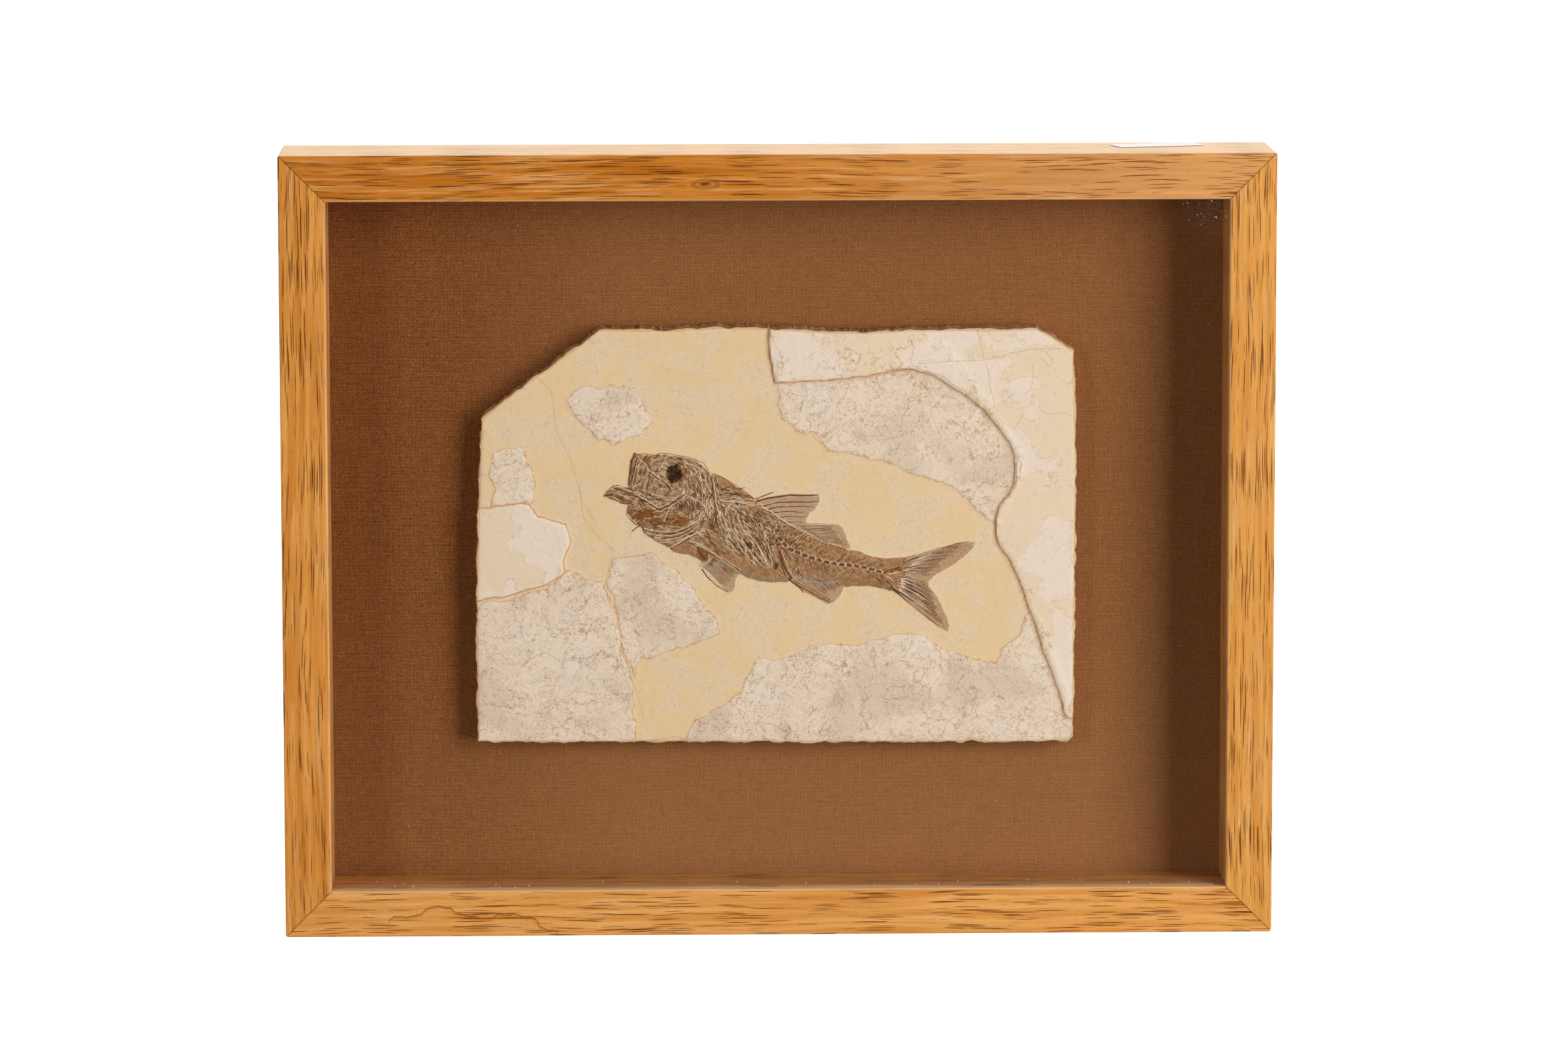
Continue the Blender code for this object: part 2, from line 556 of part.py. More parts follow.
def fish_body():
    """The head and trunk: sections across the fish, lofted from the snout to the tail's root."""
    work = bmesh.new()
    rows = []
    for back, belly, relief in zip(FISH_BACK, FISH_BELLY, FISH_RELIEF):
        row = []
        for share, rise in FISH_SECTION:
            place = Vector(back).lerp(Vector(belly), share)
            height = FISH_BED + (relief * rise if rise > 0 else -FISH_ROOT)
            row.append(work.verts.new((place.x, place.y, height)))
        rows.append(row)
    for row, following in zip(rows, rows[1:]):
        for i in range(len(row) - 1):
            work.faces.new((row[i], row[i + 1], following[i + 1], following[i]))
        work.faces.new((row[-1], row[0], following[0], following[-1]))
    work.faces.new(rows[0])
    work.faces.new(rows[-1])
    bmesh.ops.recalc_face_normals(work, faces=work.faces)
    mesh = bpy.data.meshes.new("fish_body")
    work.to_mesh(mesh)
    work.free()
    return mesh


def add_bone(curve, points, start_radius, end_radius):
    """One tapering bone, as a line of the curve: its points are (x, y, height)."""
    line = curve.splines.new("POLY")
    line.points.add(len(points) - 1)
    for i, (point, place) in enumerate(zip(line.points, points)):
        share = i / (len(points) - 1)
        point.co = (*place, 1)
        point.radius = start_radius + (end_radius - start_radius) * share


def bone_curve(name):
    curve = bpy.data.curves.new(name, "CURVE")
    curve.dimensions = "3D"
    curve.bevel_depth = 1.0
    curve.bevel_resolution = 0
    curve.use_fill_caps = True
    return curve


def fin_rays():
    curve = bone_curve("fin_rays")
    height = FISH_BED + FIN_RELIEF
    for root_a, root_b, tip_a, tip_b, count, radius in RAYS.values():
        for i in range(count):
            share = i / (count - 1)
            root = Vector(root_a).lerp(Vector(root_b), share)
            tip = Vector(tip_a).lerp(Vector(tip_b), share)
            points = [(*root, height), (*root.lerp(tip, 0.97), height - 0.15)]
            add_bone(curve, points, radius, radius * 0.7)
    return mesh_of_curve(curve)


def backbone():
    """A row of waisted vertebrae, each a little apart from the next."""
    curve = bone_curve("backbone")
    for i in range(VERTEBRAE):
        start = along(SPINE, (i + 0.1) / VERTEBRAE)
        end = along(SPINE, (i + 0.9) / VERTEBRAE)
        size = 1.25 - 0.45 * i / VERTEBRAE
        line = curve.splines.new("POLY")
        line.points.add(2)
        for point, place, radius in zip(line.points, (start, start.lerp(end, 0.5), end), (1, 0.75, 1)):
            point.co = (*place, FISH_BED + 1.15, 1)
            point.radius = size * radius
    return mesh_of_curve(curve)


def small_bones():
    curve = bone_curve("small_bones")
    height = FISH_BED + 1.35
    for i in range(RIBS):
        share = i / (RIBS - 1)
        head = Vector(RIB_HEADS[0]).lerp(Vector(RIB_HEADS[1]), share)
        tip = Vector(RIB_TIPS[0]).lerp(Vector(RIB_TIPS[1]), share)
        add_bone(curve, [(*head, height), (*tip, height - 0.1)], 0.5, 0.25)
    for start, end, count, lean in (SPINES_ABOVE, SPINES_BELOW):
        for i in range(count):
            share = i / (count - 1)
            root = Vector(start).lerp(Vector(end), share)
            nearest = min((along(SPINE, s / 60) for s in range(61)), key=lambda p: abs(p.x - root.x))
            reach = 1.0 - 0.35 * share
            tip = nearest + Vector(lean) * reach
            add_bone(curve, [(*nearest, height), (*tip, height - 0.25)], 0.45, 0.2)
    for points, start_radius, end_radius, rise in BONES:
        add_bone(curve, [(*place, FISH_BED + rise) for place in points], start_radius, end_radius)
    return mesh_of_curve(curve)


def make_slab():
    """Stone and fish in one solid, made lying on its back in millimetres and then stood up."""
    stone = add_part("fossil_slab", box_mesh("fossil_slab", (-20, -20, 0), (330, 235, FISH_BED)), "limestone")
    for name, (outline, level) in LAYERS.items():
        boolean(stone, prism_mesh(name, outline, FISH_BED - LAYER_ROOT, FISH_BED + level), "UNION")
    boolean(stone, broken_edge(), "INTERSECT")
    fins = (FIRST_DORSAL, SECOND_DORSAL, ANAL_FIN, PELVIC_FIN, TAIL_FIN)
    for outline in fins:
        boolean(stone, prism_mesh("fin", outline, FISH_BED - FISH_ROOT, FISH_BED + FIN_RELIEF), "UNION")
    boolean(stone, prism_mesh("lower_jaw", LOWER_JAW, FISH_BED - 0.7, FISH_BED + 1.3), "UNION")
    boolean(stone, fish_body(), "UNION")
    boolean(stone, prism_mesh("upper_jaw", UPPER_JAW, FISH_BED - 0.8, FISH_BED + 2.0), "UNION")
    eye = bmesh.new()
    bmesh.ops.create_cone(eye, cap_ends=True, segments=18, radius1=EYE_RADIUS, radius2=EYE_RADIUS * 0.7,
                          depth=1.6)
    bmesh.ops.translate(eye, vec=(*EYE_CENTRE, FISH_BED + 1.55), verts=eye.verts)
    eye_mesh = bpy.data.meshes.new("eye")
    eye.to_mesh(eye_mesh)
    eye.free()
    boolean(stone, eye_mesh, "UNION")
    for bones in (fin_rays(), backbone(), small_bones()):
        boolean(stone, bones, "UNION")
    tidy_mesh(stone.data)
    stone.data.transform(Matrix.Scale(MM, 4))
    stone.rotation_euler = (math.pi / 2, 0, 0)
    stone.location = (SLAB_LEFT, FRONT + LINEN_DEPTH - GAP, SLAB_BOTTOM)


def tidy_mesh(mesh):
    work = bmesh.new()
    work.from_mesh(mesh)
    bmesh.ops.remove_doubles(work, verts=work.verts, dist=WELD)
    bmesh.ops.dissolve_degenerate(work, edges=work.edges, dist=WELD)
    bmesh.ops.triangulate(work, faces=work.faces)
    work.to_mesh(mesh)
    work.free()


clear_scene()
parts = new_collection("framed_fossil_fish")
cutters = new_collection("cutters", hidden=True)
make_frame()
make_glass()
make_spacers()
panel_back = make_backing()
make_points(panel_back)
make_hanger()
make_label()
make_slab()
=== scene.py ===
import bpy
import math
import numpy as np

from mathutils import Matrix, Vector


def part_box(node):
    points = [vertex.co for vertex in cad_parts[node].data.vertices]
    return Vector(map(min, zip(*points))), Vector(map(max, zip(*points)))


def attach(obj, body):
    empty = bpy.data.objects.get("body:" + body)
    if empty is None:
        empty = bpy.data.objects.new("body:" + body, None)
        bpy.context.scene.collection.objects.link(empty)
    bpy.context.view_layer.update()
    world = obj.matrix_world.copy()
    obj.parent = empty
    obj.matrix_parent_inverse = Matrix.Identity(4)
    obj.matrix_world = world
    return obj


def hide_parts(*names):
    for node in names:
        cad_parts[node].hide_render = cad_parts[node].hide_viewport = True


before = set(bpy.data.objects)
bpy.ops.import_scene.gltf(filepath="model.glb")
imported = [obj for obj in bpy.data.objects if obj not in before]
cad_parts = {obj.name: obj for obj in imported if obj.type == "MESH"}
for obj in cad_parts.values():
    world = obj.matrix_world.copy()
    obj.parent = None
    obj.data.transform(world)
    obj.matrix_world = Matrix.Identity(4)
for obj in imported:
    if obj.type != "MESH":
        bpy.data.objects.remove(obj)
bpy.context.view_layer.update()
mm = 0.001
front = -0.0325                      # the frame's front face
slabPlace = {"left": -0.1554, "back": front + 0.0442, "bottom": 0.0949}


# camera, lights and floor

studio = {
    "cameraAt": (-0.0818, -3.6825, 0.715), "tilt": 7.81, "turn": -1.337, "roll": 0.08, "lens": 165.52,
    "sensor": 36, "sight": 200,
    "floor": (0.93, 0.93, 0.93), "floorSize": 60, "floorDrop": 0.0002, "floorGlow": 0.75,
    "frontRoom": 0.10, "backRoom": 1.0, "roomFade": (-0.1, 0.25),
    "lamps": [                       # name, place, aim, width, height, watts, colour
        ("keyLamp", (2.15, -2.1, 0.7), (0, 0, 0.2), 1.4, 2.6, 104, (1.0, 0.99, 0.975)),
        ("fillLamp", (-1.95, -2.45, 0.65), (0, 0, 0.2), 0.7, 1.5, 28, (1.0, 0.99, 0.98)),
        ("topLamp", (0.0, 0.9, 2.3), (0, 0.1, 0.4), 2.0, 1.0, 20, (1.0, 0.98, 0.94)),
    ],
}


def makeStudio(look):
    scene = bpy.context.scene
    scene.view_settings.view_transform = "Standard"
    bpy.ops.object.camera_add(location=look["cameraAt"])
    camera = bpy.context.object
    camera.name = "camera"
    turns = (90 - look["tilt"], look["roll"], look["turn"])
    camera.rotation_euler = [math.radians(turn) for turn in turns]
    camera.data.lens = look["lens"]
    camera.data.sensor_width = look["sensor"]
    camera.data.clip_end = look["sight"]
    scene.camera = camera
    for name, place, aim, width, height, watts, colour in look["lamps"]:
        bpy.ops.object.light_add(type="AREA", location=place)
        lamp = bpy.context.object
        lamp.name = name
        lamp.data.shape = "RECTANGLE"
        lamp.data.size = width
        lamp.data.size_y = height
        lamp.data.energy = watts
        lamp.data.color = colour
        lamp.visible_camera = False
        lamp.rotation_euler = (Vector(aim) - Vector(place)).to_track_quat("-Z", "Y").to_euler()
    makeRoom(scene, look)
    bpy.ops.mesh.primitive_plane_add(size=look["floorSize"], location=(0, 0, -look["floorDrop"]))
    floor = bpy.context.object
    floor.name = "floor"
    floor.visible_diffuse = False                              # its bounce comes from the room instead
    floor.visible_shadow = False
    paper = Paint("floorPaper")
    paper.use(Base_Color=(*look["floor"], 1), Roughness=0.9, Emission_Color=(1, 1, 1, 1),
              Emission_Strength=look["floorGlow"])
    floor.data.materials.append(paper.material)
    print("studio made")


def makeRoom(scene, look):                                     # a white backdrop behind, a dim room in front
    scene.world = bpy.data.worlds.new("softRoom")
    room = Paint("softRoom", scene.world)
    depth = room.split(room.node("ShaderNodeTexCoord", {}, {}, "Generated"))[1]
    near, far = look["roomFade"]
    fade = room.node("ShaderNodeMapRange", {},
                     {0: depth, 1: near, 2: far, 3: look["frontRoom"], 4: look["backRoom"]})
    seenByCamera = room.node("ShaderNodeLightPath", {}, {}, "Is Camera Ray")
    room.use(Color=(1, 1, 1, 1), Strength=seenByCamera.maths("MAXIMUM", fade))


# materials: a wire carries a number or a vector through the nodes

class Wire:
    def __init__(self, paint, socket):
        self.paint = paint
        self.socket = socket

    def maths(self, kind, *others):
        return self.paint.node("ShaderNodeMath", {"operation": kind}, dict(enumerate((self, *others))))

    def __add__(self, other):
        return self.maths("ADD", other)

    def __sub__(self, other):
        return self.maths("SUBTRACT", other)

    def __rsub__(self, other):
        return self.paint.node("ShaderNodeMath", {"operation": "SUBTRACT"}, {0: other, 1: self})

    def __mul__(self, other):
        return self.maths("MULTIPLY", other)

    def __truediv__(self, other):
        return self.maths("DIVIDE", other)

    __radd__ = __add__
    __rmul__ = __mul__

    def __abs__(self):
        return self.maths("ABSOLUTE")

    def ramp(self, low, high, bottom=0.0, top=1.0):            # smooth step from low to high
        return self.paint.node("ShaderNodeMapRange", {"interpolation_type": "SMOOTHSTEP"},
                               {0: self, 1: low, 2: high, 3: bottom, 4: top})

    def near(self, middle, width):                             # 1 at the middle, 0 outside the width
        return abs(self - middle).ramp(0.0, width, 1.0, 0.0)


class Paint:
    def __init__(self, name, world=None):
        self.material = world or bpy.data.materials.new(name)
        self.material.use_nodes = True
        self.tree = self.material.node_tree
        self.shader = self.tree.nodes["Background" if world else "Principled BSDF"]

    def node(self, kind, settings, inputs, output=0):
        made = self.tree.nodes.new(kind)
        for key, value in settings.items():
            if key == "stops":                                 # from 0 to 1: (place, colour)
                band = made.color_ramp.elements
                band[0].color, band[-1].color = (*value[0][1], 1), (*value[-1][1], 1)
                for place, colour in value[1:-1]:
                    band.new(place).color = (*colour, 1)
            else:
                setattr(made, key, value)
        for key, value in inputs.items():
            if isinstance(value, Wire):
                self.tree.links.new(value.socket, made.inputs[key])
            else:
                made.inputs[key].default_value = value
        return Wire(self, made.outputs[output])

    def place(self, across=1, deep=None, up=None, shift=(0, 0, 0)):        # in millimetres, then stretched
        spot = self.node("ShaderNodeTexCoord", {}, {}, "Object")
        stretch = (across, across, across) if deep is None else (across, deep, up)
        scale = tuple(1000 * value for value in stretch)
        return self.node("ShaderNodeMapping", {}, {0: spot, "Scale": scale, "Location": shift})

    def split(self, vector):
        first = self.node("ShaderNodeSeparateXYZ", {}, {0: vector})
        return [Wire(self, socket) for socket in first.socket.node.outputs]

    def join(self, x, y, z):
        return self.node("ShaderNodeCombineXYZ", {}, {0: x, 1: y, 2: z})

    def noise(self, vector, scale=1.0, detail=2.0, rough=0.5, distort=0.0):
        return self.node("ShaderNodeTexNoise", {}, {"Vector": vector, "Scale": scale, "Detail": detail,
                                                    "Roughness": rough, "Distortion": distort})

    def cells(self, vector, scale=1.0, part="Distance", flat=False):
        return self.node("ShaderNodeTexVoronoi", {"voronoi_dimensions": "2D" if flat else "3D"},
                         {"Vector": vector, "Scale": scale}, part)

    def field(self, name):                                     # a number stored on the mesh
        return self.node("ShaderNodeAttribute", {"attribute_name": name}, {}, "Fac")

    def mix(self, mask, below, above):                         # colours as (r, g, b) or wires
        first, second = (c if isinstance(c, Wire) else (*c, 1) for c in (below, above))
        return self.node("ShaderNodeMix", {"data_type": "RGBA"}, {0: mask, 6: first, 7: second}, 2)

    def coats(self, colour, *coats):                           # each coat is a mask and its colour
        for mask, above in coats:
            colour = self.mix(mask, colour, above)
        return colour

    def use(self, **sockets):
        for name, value in sockets.items():
            socket = self.shader.inputs[name.replace("_", " ")]
            if isinstance(value, Wire):
                self.tree.links.new(value.socket, socket)
            else:
                socket.default_value = value

    def bump(self, height, distance, strength):
        inputs = {"Height": height, "Distance": distance, "Strength": strength}
        return self.node("ShaderNodeBump", {}, inputs)


def seen(*tone):                                               # a colour given as seen on a screen
    shares = [part / 255 for part in tone]
    return tuple(c / 12.92 if c <= 0.04045 else ((c + 0.055) / 1.055) ** 2.4 for c in shares)


def toned(look):                                               # a piece's colours, alone or in pairs
    return {name: seen(*tone) if isinstance(tone[0], int) else tuple(seen(*each) for each in tone)
            for name, tone in look["tones"].items()}


def selectOnly(piece):
    bpy.ops.object.select_all(action="DESELECT")
    piece.select_set(True)
    bpy.context.view_layer.objects.active = piece


def dress(piece, paint):
    piece.data.materials.clear()
    piece.data.materials.append(paint.material)


# oak

oakLook = {                          # colours as seen, then sizes in millimetres
    "rails": {                       # grain, seed, pale, middle, deep
        "top_rail": ("x", 1, (207, 134, 50), (190, 113, 26), (153, 78, 8)),
        "bottom_rail": ("x", 2, (232, 168, 92), (217, 148, 69), (186, 110, 36)),
        "left_rail": ("z", 3, (226, 157, 75), (207, 134, 51), (173, 96, 23)),
        "right_rail": ("z", 4, (226, 163, 84), (214, 146, 67), (181, 110, 35)),
    },
    "spacers": {"top_spacer": ("x", 5), "bottom_spacer": ("x", 6), "left_spacer": ("z", 7),
                "right_spacer": ("z", 8)},
    "spacerTones": ((224, 162, 96), (202, 137, 72), (162, 100, 47)),
    "tones": {
        # the pale top tone stands in for light falling on the top faces
        "pore": (98, 42, 0), "faded": (246, 216, 182), "lip": (226, 176, 118), "swirl": (140, 76, 18),
        "knot": (72, 30, 6), "tide": (146, 74, 14), "lint": (226, 210, 190),
    },
    "poreRows": ((50, 1.05, 0.0), (36, 0.85, 5.3), (64, 1.3, 9.1)),         # length, width, shift
    "ringWidth": 5.2, "smooth": 0.38, "porous": 0.8, "sightHalf": (230.2, 177.7), "middleUp": 201.5,
    "knotAt": (-37.4, 387.9), "tideTop": 20,
    "tideLine": (
        (-201.6, 1.5), (-201.2, 8.1), (-198.7, 10.2), (-192.0, 10.2), (-184.4, 11.3), (-182.7, 13.6),
        (-178.9, 15.3), (-174.5, 15.5), (-169.0, 14.6), (-164.7, 11.9), (-161.5, 10.5), (-155.0, 9.8),
        (-147.9, 9.2), (-145.1, 11.3), (-139.7, 11.2), (-133.2, 10.5), (-128.1, 10.0), (-125.3, 8.1),
        (-123.3, 4.7), (-119.5, 2.8), (-113.4, 2.4),
    ),
}


def oakPaint(name, grain, seed, tones, look):
    paint = Paint(name)
    tone = toned(look)
    pale, middle, deep = (seen(*each) for each in tones)
    x, y, z = paint.split(paint.place())
    lengthwise, across = (x, z) if grain == "x" else (z, x)
    bend = paint.noise(paint.join(lengthwise * 0.006, across * 0.02, seed * 3.1))
    across = across + bend * 9 + y * 0.35                      # the grain wanders off the straight

    def streak(longScale, crossScale, shift, detail=2.0, rough=0.55):
        along = lengthwise * longScale + (seed * 7.3 + shift)
        spot = paint.join(along, across * crossScale, y * crossScale * 0.8 + seed)
        return paint.noise(spot, 1.0, detail, rough)

    ring = (across / look["ringWidth"] + streak(0.01, 0.1, 4) * 1.6).maths("FRACT")
    early = ring.ramp(0.0, 0.12) * ring.ramp(0.3, 0.75, 1.0, 0.0)          # the open-pored wood of spring
    colour = paint.coats(
        paint.mix(streak(0.012, 0.22, 1).ramp(0.32, 0.66), pale, middle),
        (streak(0.03, 2.6, 2, 4.0, 0.7).ramp(0.46, 0.68) * 0.45, deep),
        (streak(0.02, 0.9, 3).ramp(0.5, 0.66) * 0.8, pale),
        (streak(0.02, 0.6, 12).ramp(0.54, 0.7) * 0.6, tone["lip"]),
        (early * 0.25, deep),
        (streak(0.008, 0.05, 6, 3.0).ramp(0.54, 0.68) * 0.25, deep),
        (streak(0.3, 5.0, 14).ramp(0.5, 0.66) * 0.3, deep))
    if name == "topOak":                                       # paler towards the right
        colour = paint.mix(x.ramp(-60, 230) * 0.45, colour, tone["lip"])
    crowd = early * 0.2 + streak(0.012, 0.14, 9, 1.0).ramp(0.3, 0.7) * 0.35 + 0.33
    pores = None
    for length, width, shift in look["poreRows"]:
        spot = paint.join(lengthwise / length + (seed + shift), (across + y) / width + shift, 0)
        pick = paint.split(paint.cells(spot, part="Color", flat=True))[0]
        size = ((pick + crowd - 0.98) * 0.4).maths("MINIMUM", 0.2)
        dash = (paint.cells(spot, flat=True) - size).ramp(-0.03, 0.02, 1.0, 0.0) * size.ramp(0.03, 0.07)
        pores = dash if pores is None else pores.maths("MAXIMUM", dash)
    flecks = paint.noise(paint.join(lengthwise * 0.5, across * 1.2, y), 1.0, 2.0, 0.6).ramp(0.64, 0.72)
    patches = streak(0.02, 0.06, 8).ramp(0.55, 0.66)
    colour = paint.coats(colour, (pores * 0.95, tone["pore"]), (flecks * patches * 0.6, deep))
    rough = pores.ramp(0, 1, look["smooth"], look["porous"])
    if "Spacer" not in name:                                   # painted highlight: the outer top faces are painted paler, as if lit from above
        upward = paint.split(paint.node("ShaderNodeNewGeometry", {}, {}, "Normal"))[2].ramp(0.5, 0.9)
        colour = paint.mix(upward * (1 - pores * 0.5) * 0.88, colour, tone["faded"])
        rough = rough.maths("MAXIMUM", upward * 0.75)
    grooves = (1 - pores) * 0.5 + streak(0.03, 1.9, 2, 3.0, 0.6) * 0.3
    paint.use(Roughness=rough, Specular_IOR_Level=0.1, Normal=paint.bump(grooves, 0.0001, 0.5))
    return paint, colour, (x, y, z)


def dressRails(look):
    tone = toned(look)
    halfAcross, halfUp = look["sightHalf"]
    for node, (grain, seed, *tones) in look["rails"].items():
        paint, colour, (x, y, z) = oakPaint(node.replace("_rail", "Oak"), grain, seed, tones, look)
        sight = (abs(x) - halfAcross).maths("MAXIMUM", abs(z - look["middleUp"]) - halfUp)
        colour = paint.mix(sight.ramp(0.5, 1.1, 0.55, 0.0), colour, tone["lip"])   # painted highlight along the rounded sight edge
        rub = paint.noise(paint.place(0.2))
        if node == "top_rail":
            colour = addKnot(paint, colour, x, z, rub, look)
        if node == "bottom_rail":
            colour = addTide(paint, colour, x, z, rub, look)
        paint.use(Base_Color=colour)
        dress(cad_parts[node], paint)
    for node, (grain, seed) in look["spacers"].items():
        name = node.replace("_spacer", "SpacerOak")
        paint, colour, (x, y, z) = oakPaint(name, grain, seed, look["spacerTones"], look)
        lint = paint.noise(paint.place(1.1), 1.0, 1.0).ramp(0.74, 0.77) * (y + 18).ramp(-4, 2, 1.0, 0.3)
        paint.use(Base_Color=paint.mix(lint * 0.6, colour, tone["lint"]))
        dress(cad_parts[node], paint)
    print("rails and spacers dressed")


def addKnot(paint, colour, x, z, rub, look):                   # a small knot, with the grain round it
    tone = toned(look)
    across, up = look["knotAt"]
    far = (((x - across) * 0.35).maths("POWER", 2) + (z - up).maths("POWER", 2)).maths("SQRT")
    swirl = ((far + rub * 2) * 2.4).maths("SINE").ramp(-0.2, 0.9) * far.ramp(1.5, 5.5, 0.6, 0.0)
    heart = (far + rub * 1.2).ramp(0.8, 2.4, 1.0, 0.0)
    return paint.coats(colour, (swirl, tone["swirl"]), (heart * 0.9, tone["knot"]))


def addTide(paint, colour, x, z, rub, look):                   # the stain's edge, and its faint inside
    low, high, top = look["tideLine"][0][0], look["tideLine"][-1][0], look["tideTop"]
    stops = [((across - low) / (high - low), (up / top,) * 3) for across, up in look["tideLine"]]
    share = (x + (rub - 0.5) * 2.5 - low) / (high - low)
    level = paint.node("ShaderNodeValToRGB", {"stops": stops}, {0: share}) * top
    within = share.ramp(0.0, 0.01) * share.ramp(0.99, 1.0, 1.0, 0.0)
    offset = z + (rub - 0.5) * 2.2 - level
    inside = offset.ramp(-2.6, 0.0, 0.0, 0.4) * offset.ramp(0.0, 0.6, 1.0, 0.0)
    tide = offset.near(0.0, 0.75).maths("MAXIMUM", inside)
    return paint.mix(tide * within * 0.9, colour, toned(look)["tide"])


# glass

glassLook = {
    "clear": (0.985, 0.99, 0.985, 1), "shine": 0.8, "smooth": 0.02, "tones": {"powder": (236, 222, 200)},
    "specks": 0.42,                  # in a millimetre
    "lowerEdge": 24, "cornerStart": 570,                       # millimetres up, and across and up together
}


def dressGlass(look):
    paint = Paint("pictureGlass")
    paint.tree.nodes.remove(paint.shader)
    clear = paint.node("ShaderNodeBsdfTransparent", {}, {"Color": look["clear"]})
    gloss = paint.node("ShaderNodeBsdfGlossy", {}, {"Roughness": look["smooth"]})
    powder = paint.node("ShaderNodeBsdfDiffuse", {}, {"Color": (*toned(look)["powder"], 1)})
    facing = paint.node("ShaderNodeLayerWeight", {}, {"Blend": 0.5}, "Facing")
    shine = facing.maths("POWER", 5.0) * look["shine"]
    x, y, z = paint.split(paint.place())
    spot = paint.place(look["specks"], 0, look["specks"])
    pick = paint.split(paint.cells(spot, part="Color"))[0]
    specks = (paint.cells(spot) - pick * 0.16).ramp(-0.03, 0.03, 1.0, 0.0)
    low = (z - look["lowerEdge"]).ramp(0.0, 4.5, 1.0, 0.0)     # fine dust that settled on the lower edge
    corner = (x + z - look["cornerStart"]).ramp(0.0, 32.0)     # and round the upper right corner
    grit = paint.noise(paint.place(2.6), 1.0, 0.0).ramp(0.68, 0.78) * corner * 0.35
    dusty = specks * (low * 0.5 + corner * 0.6) + low * 0.025 + grit
    pane = paint.node("ShaderNodeMixShader", {}, {0: shine, 1: clear, 2: gloss})
    veil = paint.node("ShaderNodeMixShader", {}, {0: dusty, 1: pane, 2: powder})
    paint.tree.links.new(veil.socket, paint.tree.nodes["Material Output"].inputs[0])
    dress(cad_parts["glass"], paint)
    print("glass dressed")


# linen

linenLook = {
    "tones": {
        "gap": (81, 36, 8), "warp": (153, 91, 44), "weft": (177, 113, 63), "light": (214, 162, 112),
        "lint": (214, 186, 150),
    },
    "thread": 0.74, "thickness": 0.8 * mm, "depth": 7.2 * mm, "cellsAcross": 48, "cellsUp": 36,
}


def linenPaint(look):
    paint = Paint("brownLinen")
    tone = toned(look)
    spot = paint.place()
    wobble = paint.noise(paint.place(0.03), 1.0, 1.0)
    x, y, z = paint.split(spot)
    turn = math.pi / look["thread"]
    warp = ((x + wobble * 0.9 + y) * turn).maths("SINE")
    weft = ((z + wobble * 0.8 + y) * turn).maths("SINE")
    over = (warp * weft).ramp(-0.25, 0.25)                     # which thread lies on top
    rise = over * abs(warp) + (1 - over) * abs(weft)
    slubX = paint.noise(paint.place(0.08, 1.35, 1.35), 1.0, 2.0, 0.6)
    slubZ = paint.noise(paint.place(1.35, 1.35, 0.08, (9, 0, 4)), 1.0, 2.0, 0.6)
    slub = over * slubZ + (1 - over) * slubX
    fuzz = paint.noise(spot, 2.2, 2.0, 0.7)
    napX = paint.noise(paint.place(0.1, 0.9, 0.9), 1.0, 3.0, 0.6)
    napZ = paint.noise(paint.place(0.9, 0.9, 0.1, (5, 0, 3)), 1.0, 3.0, 0.6)
    nap = napX.maths("MAXIMUM", napZ) - 0.06
    faded = z.ramp(210, 30) * 0.08 + x.ramp(-190, -60) * 0.12  # painted light: the cloth is lighter towards its bottom and darker at its left
    lint = paint.noise(paint.place(0.9), 1.0, 0.0).ramp(0.86, 0.88)
    colour = paint.coats(
        paint.mix(over, tone["weft"], tone["warp"]),
        # painted shade: the low gaps between the threads are darkened
        (rise.ramp(0.95, 0.5), tone["gap"]),
        (slub.ramp(0.53, 0.75) * rise.ramp(0.6, 1.0) * 0.3, tone["light"]),
        (slub.ramp(0.48, 0.3) * 0.3, tone["gap"]),
        (fuzz.ramp(0.52, 0.34) * 0.45, tone["gap"]),
        (fuzz.ramp(0.52, 0.66) * 0.2, tone["light"]),
        (nap.ramp(0.5, 0.68) * 0.04, tone["light"]),
        (nap.ramp(0.5, 0.32) * 0.15, tone["gap"]),
        (faded, tone["light"]),
        (lint * 0.7, tone["lint"]))
    height = rise * 0.8 + slub * 0.4 + fuzz * 0.15
    paint.use(Base_Color=colour, Roughness=0.95, Specular_IOR_Level=0.05,
              Normal=paint.bump(height, 0.0002, 0.8))
    return paint


def makeLinen(look):
    low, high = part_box("linen")
    size = Vector(high) - Vector(low)
    middle = (Vector(low) + Vector(high)) / 2
    bpy.ops.object.select_all(action="DESELECT")
    bpy.ops.mesh.primitive_grid_add(x_subdivisions=look["cellsAcross"], y_subdivisions=look["cellsUp"],
                                    size=1, rotation=(math.pi / 2, 0, 0))
    cloth = bpy.context.object
    cloth.name = "linenCloth"
    bpy.ops.object.transform_apply(location=False, rotation=True, scale=False)
    half = look["thickness"] / 2
    bpy.ops.object.mode_set(mode="EDIT")
    bpy.ops.transform.resize(value=(size.x - 2 * half, 1, size.z - 2 * half))
    bpy.ops.transform.translate(value=(middle.x, low[1] + half, middle.z))
    bpy.ops.mesh.select_all(action="DESELECT")
    bpy.ops.mesh.select_mode(type="EDGE")
    bpy.ops.mesh.select_non_manifold()
    bpy.ops.mesh.extrude_region_move(TRANSFORM_OT_translate={"value": (0, size.y - half, 0)})
    bpy.ops.mesh.select_all(action="SELECT")
    bpy.ops.mesh.normals_make_consistent(inside=False)
    bpy.ops.object.mode_set(mode="OBJECT")
    wall = cloth.modifiers.new("thickness", "SOLIDIFY")
    wall.thickness = look["thickness"]
    wall.offset = 0
    wall.use_even_offset = True
    bpy.ops.object.modifier_apply(modifier="thickness")
    dress(cloth, linenPaint(look))
    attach(cloth, "root")
    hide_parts("linen")
    print("linen made")


# slab: outlines in millimetres across and up from its lower left corner

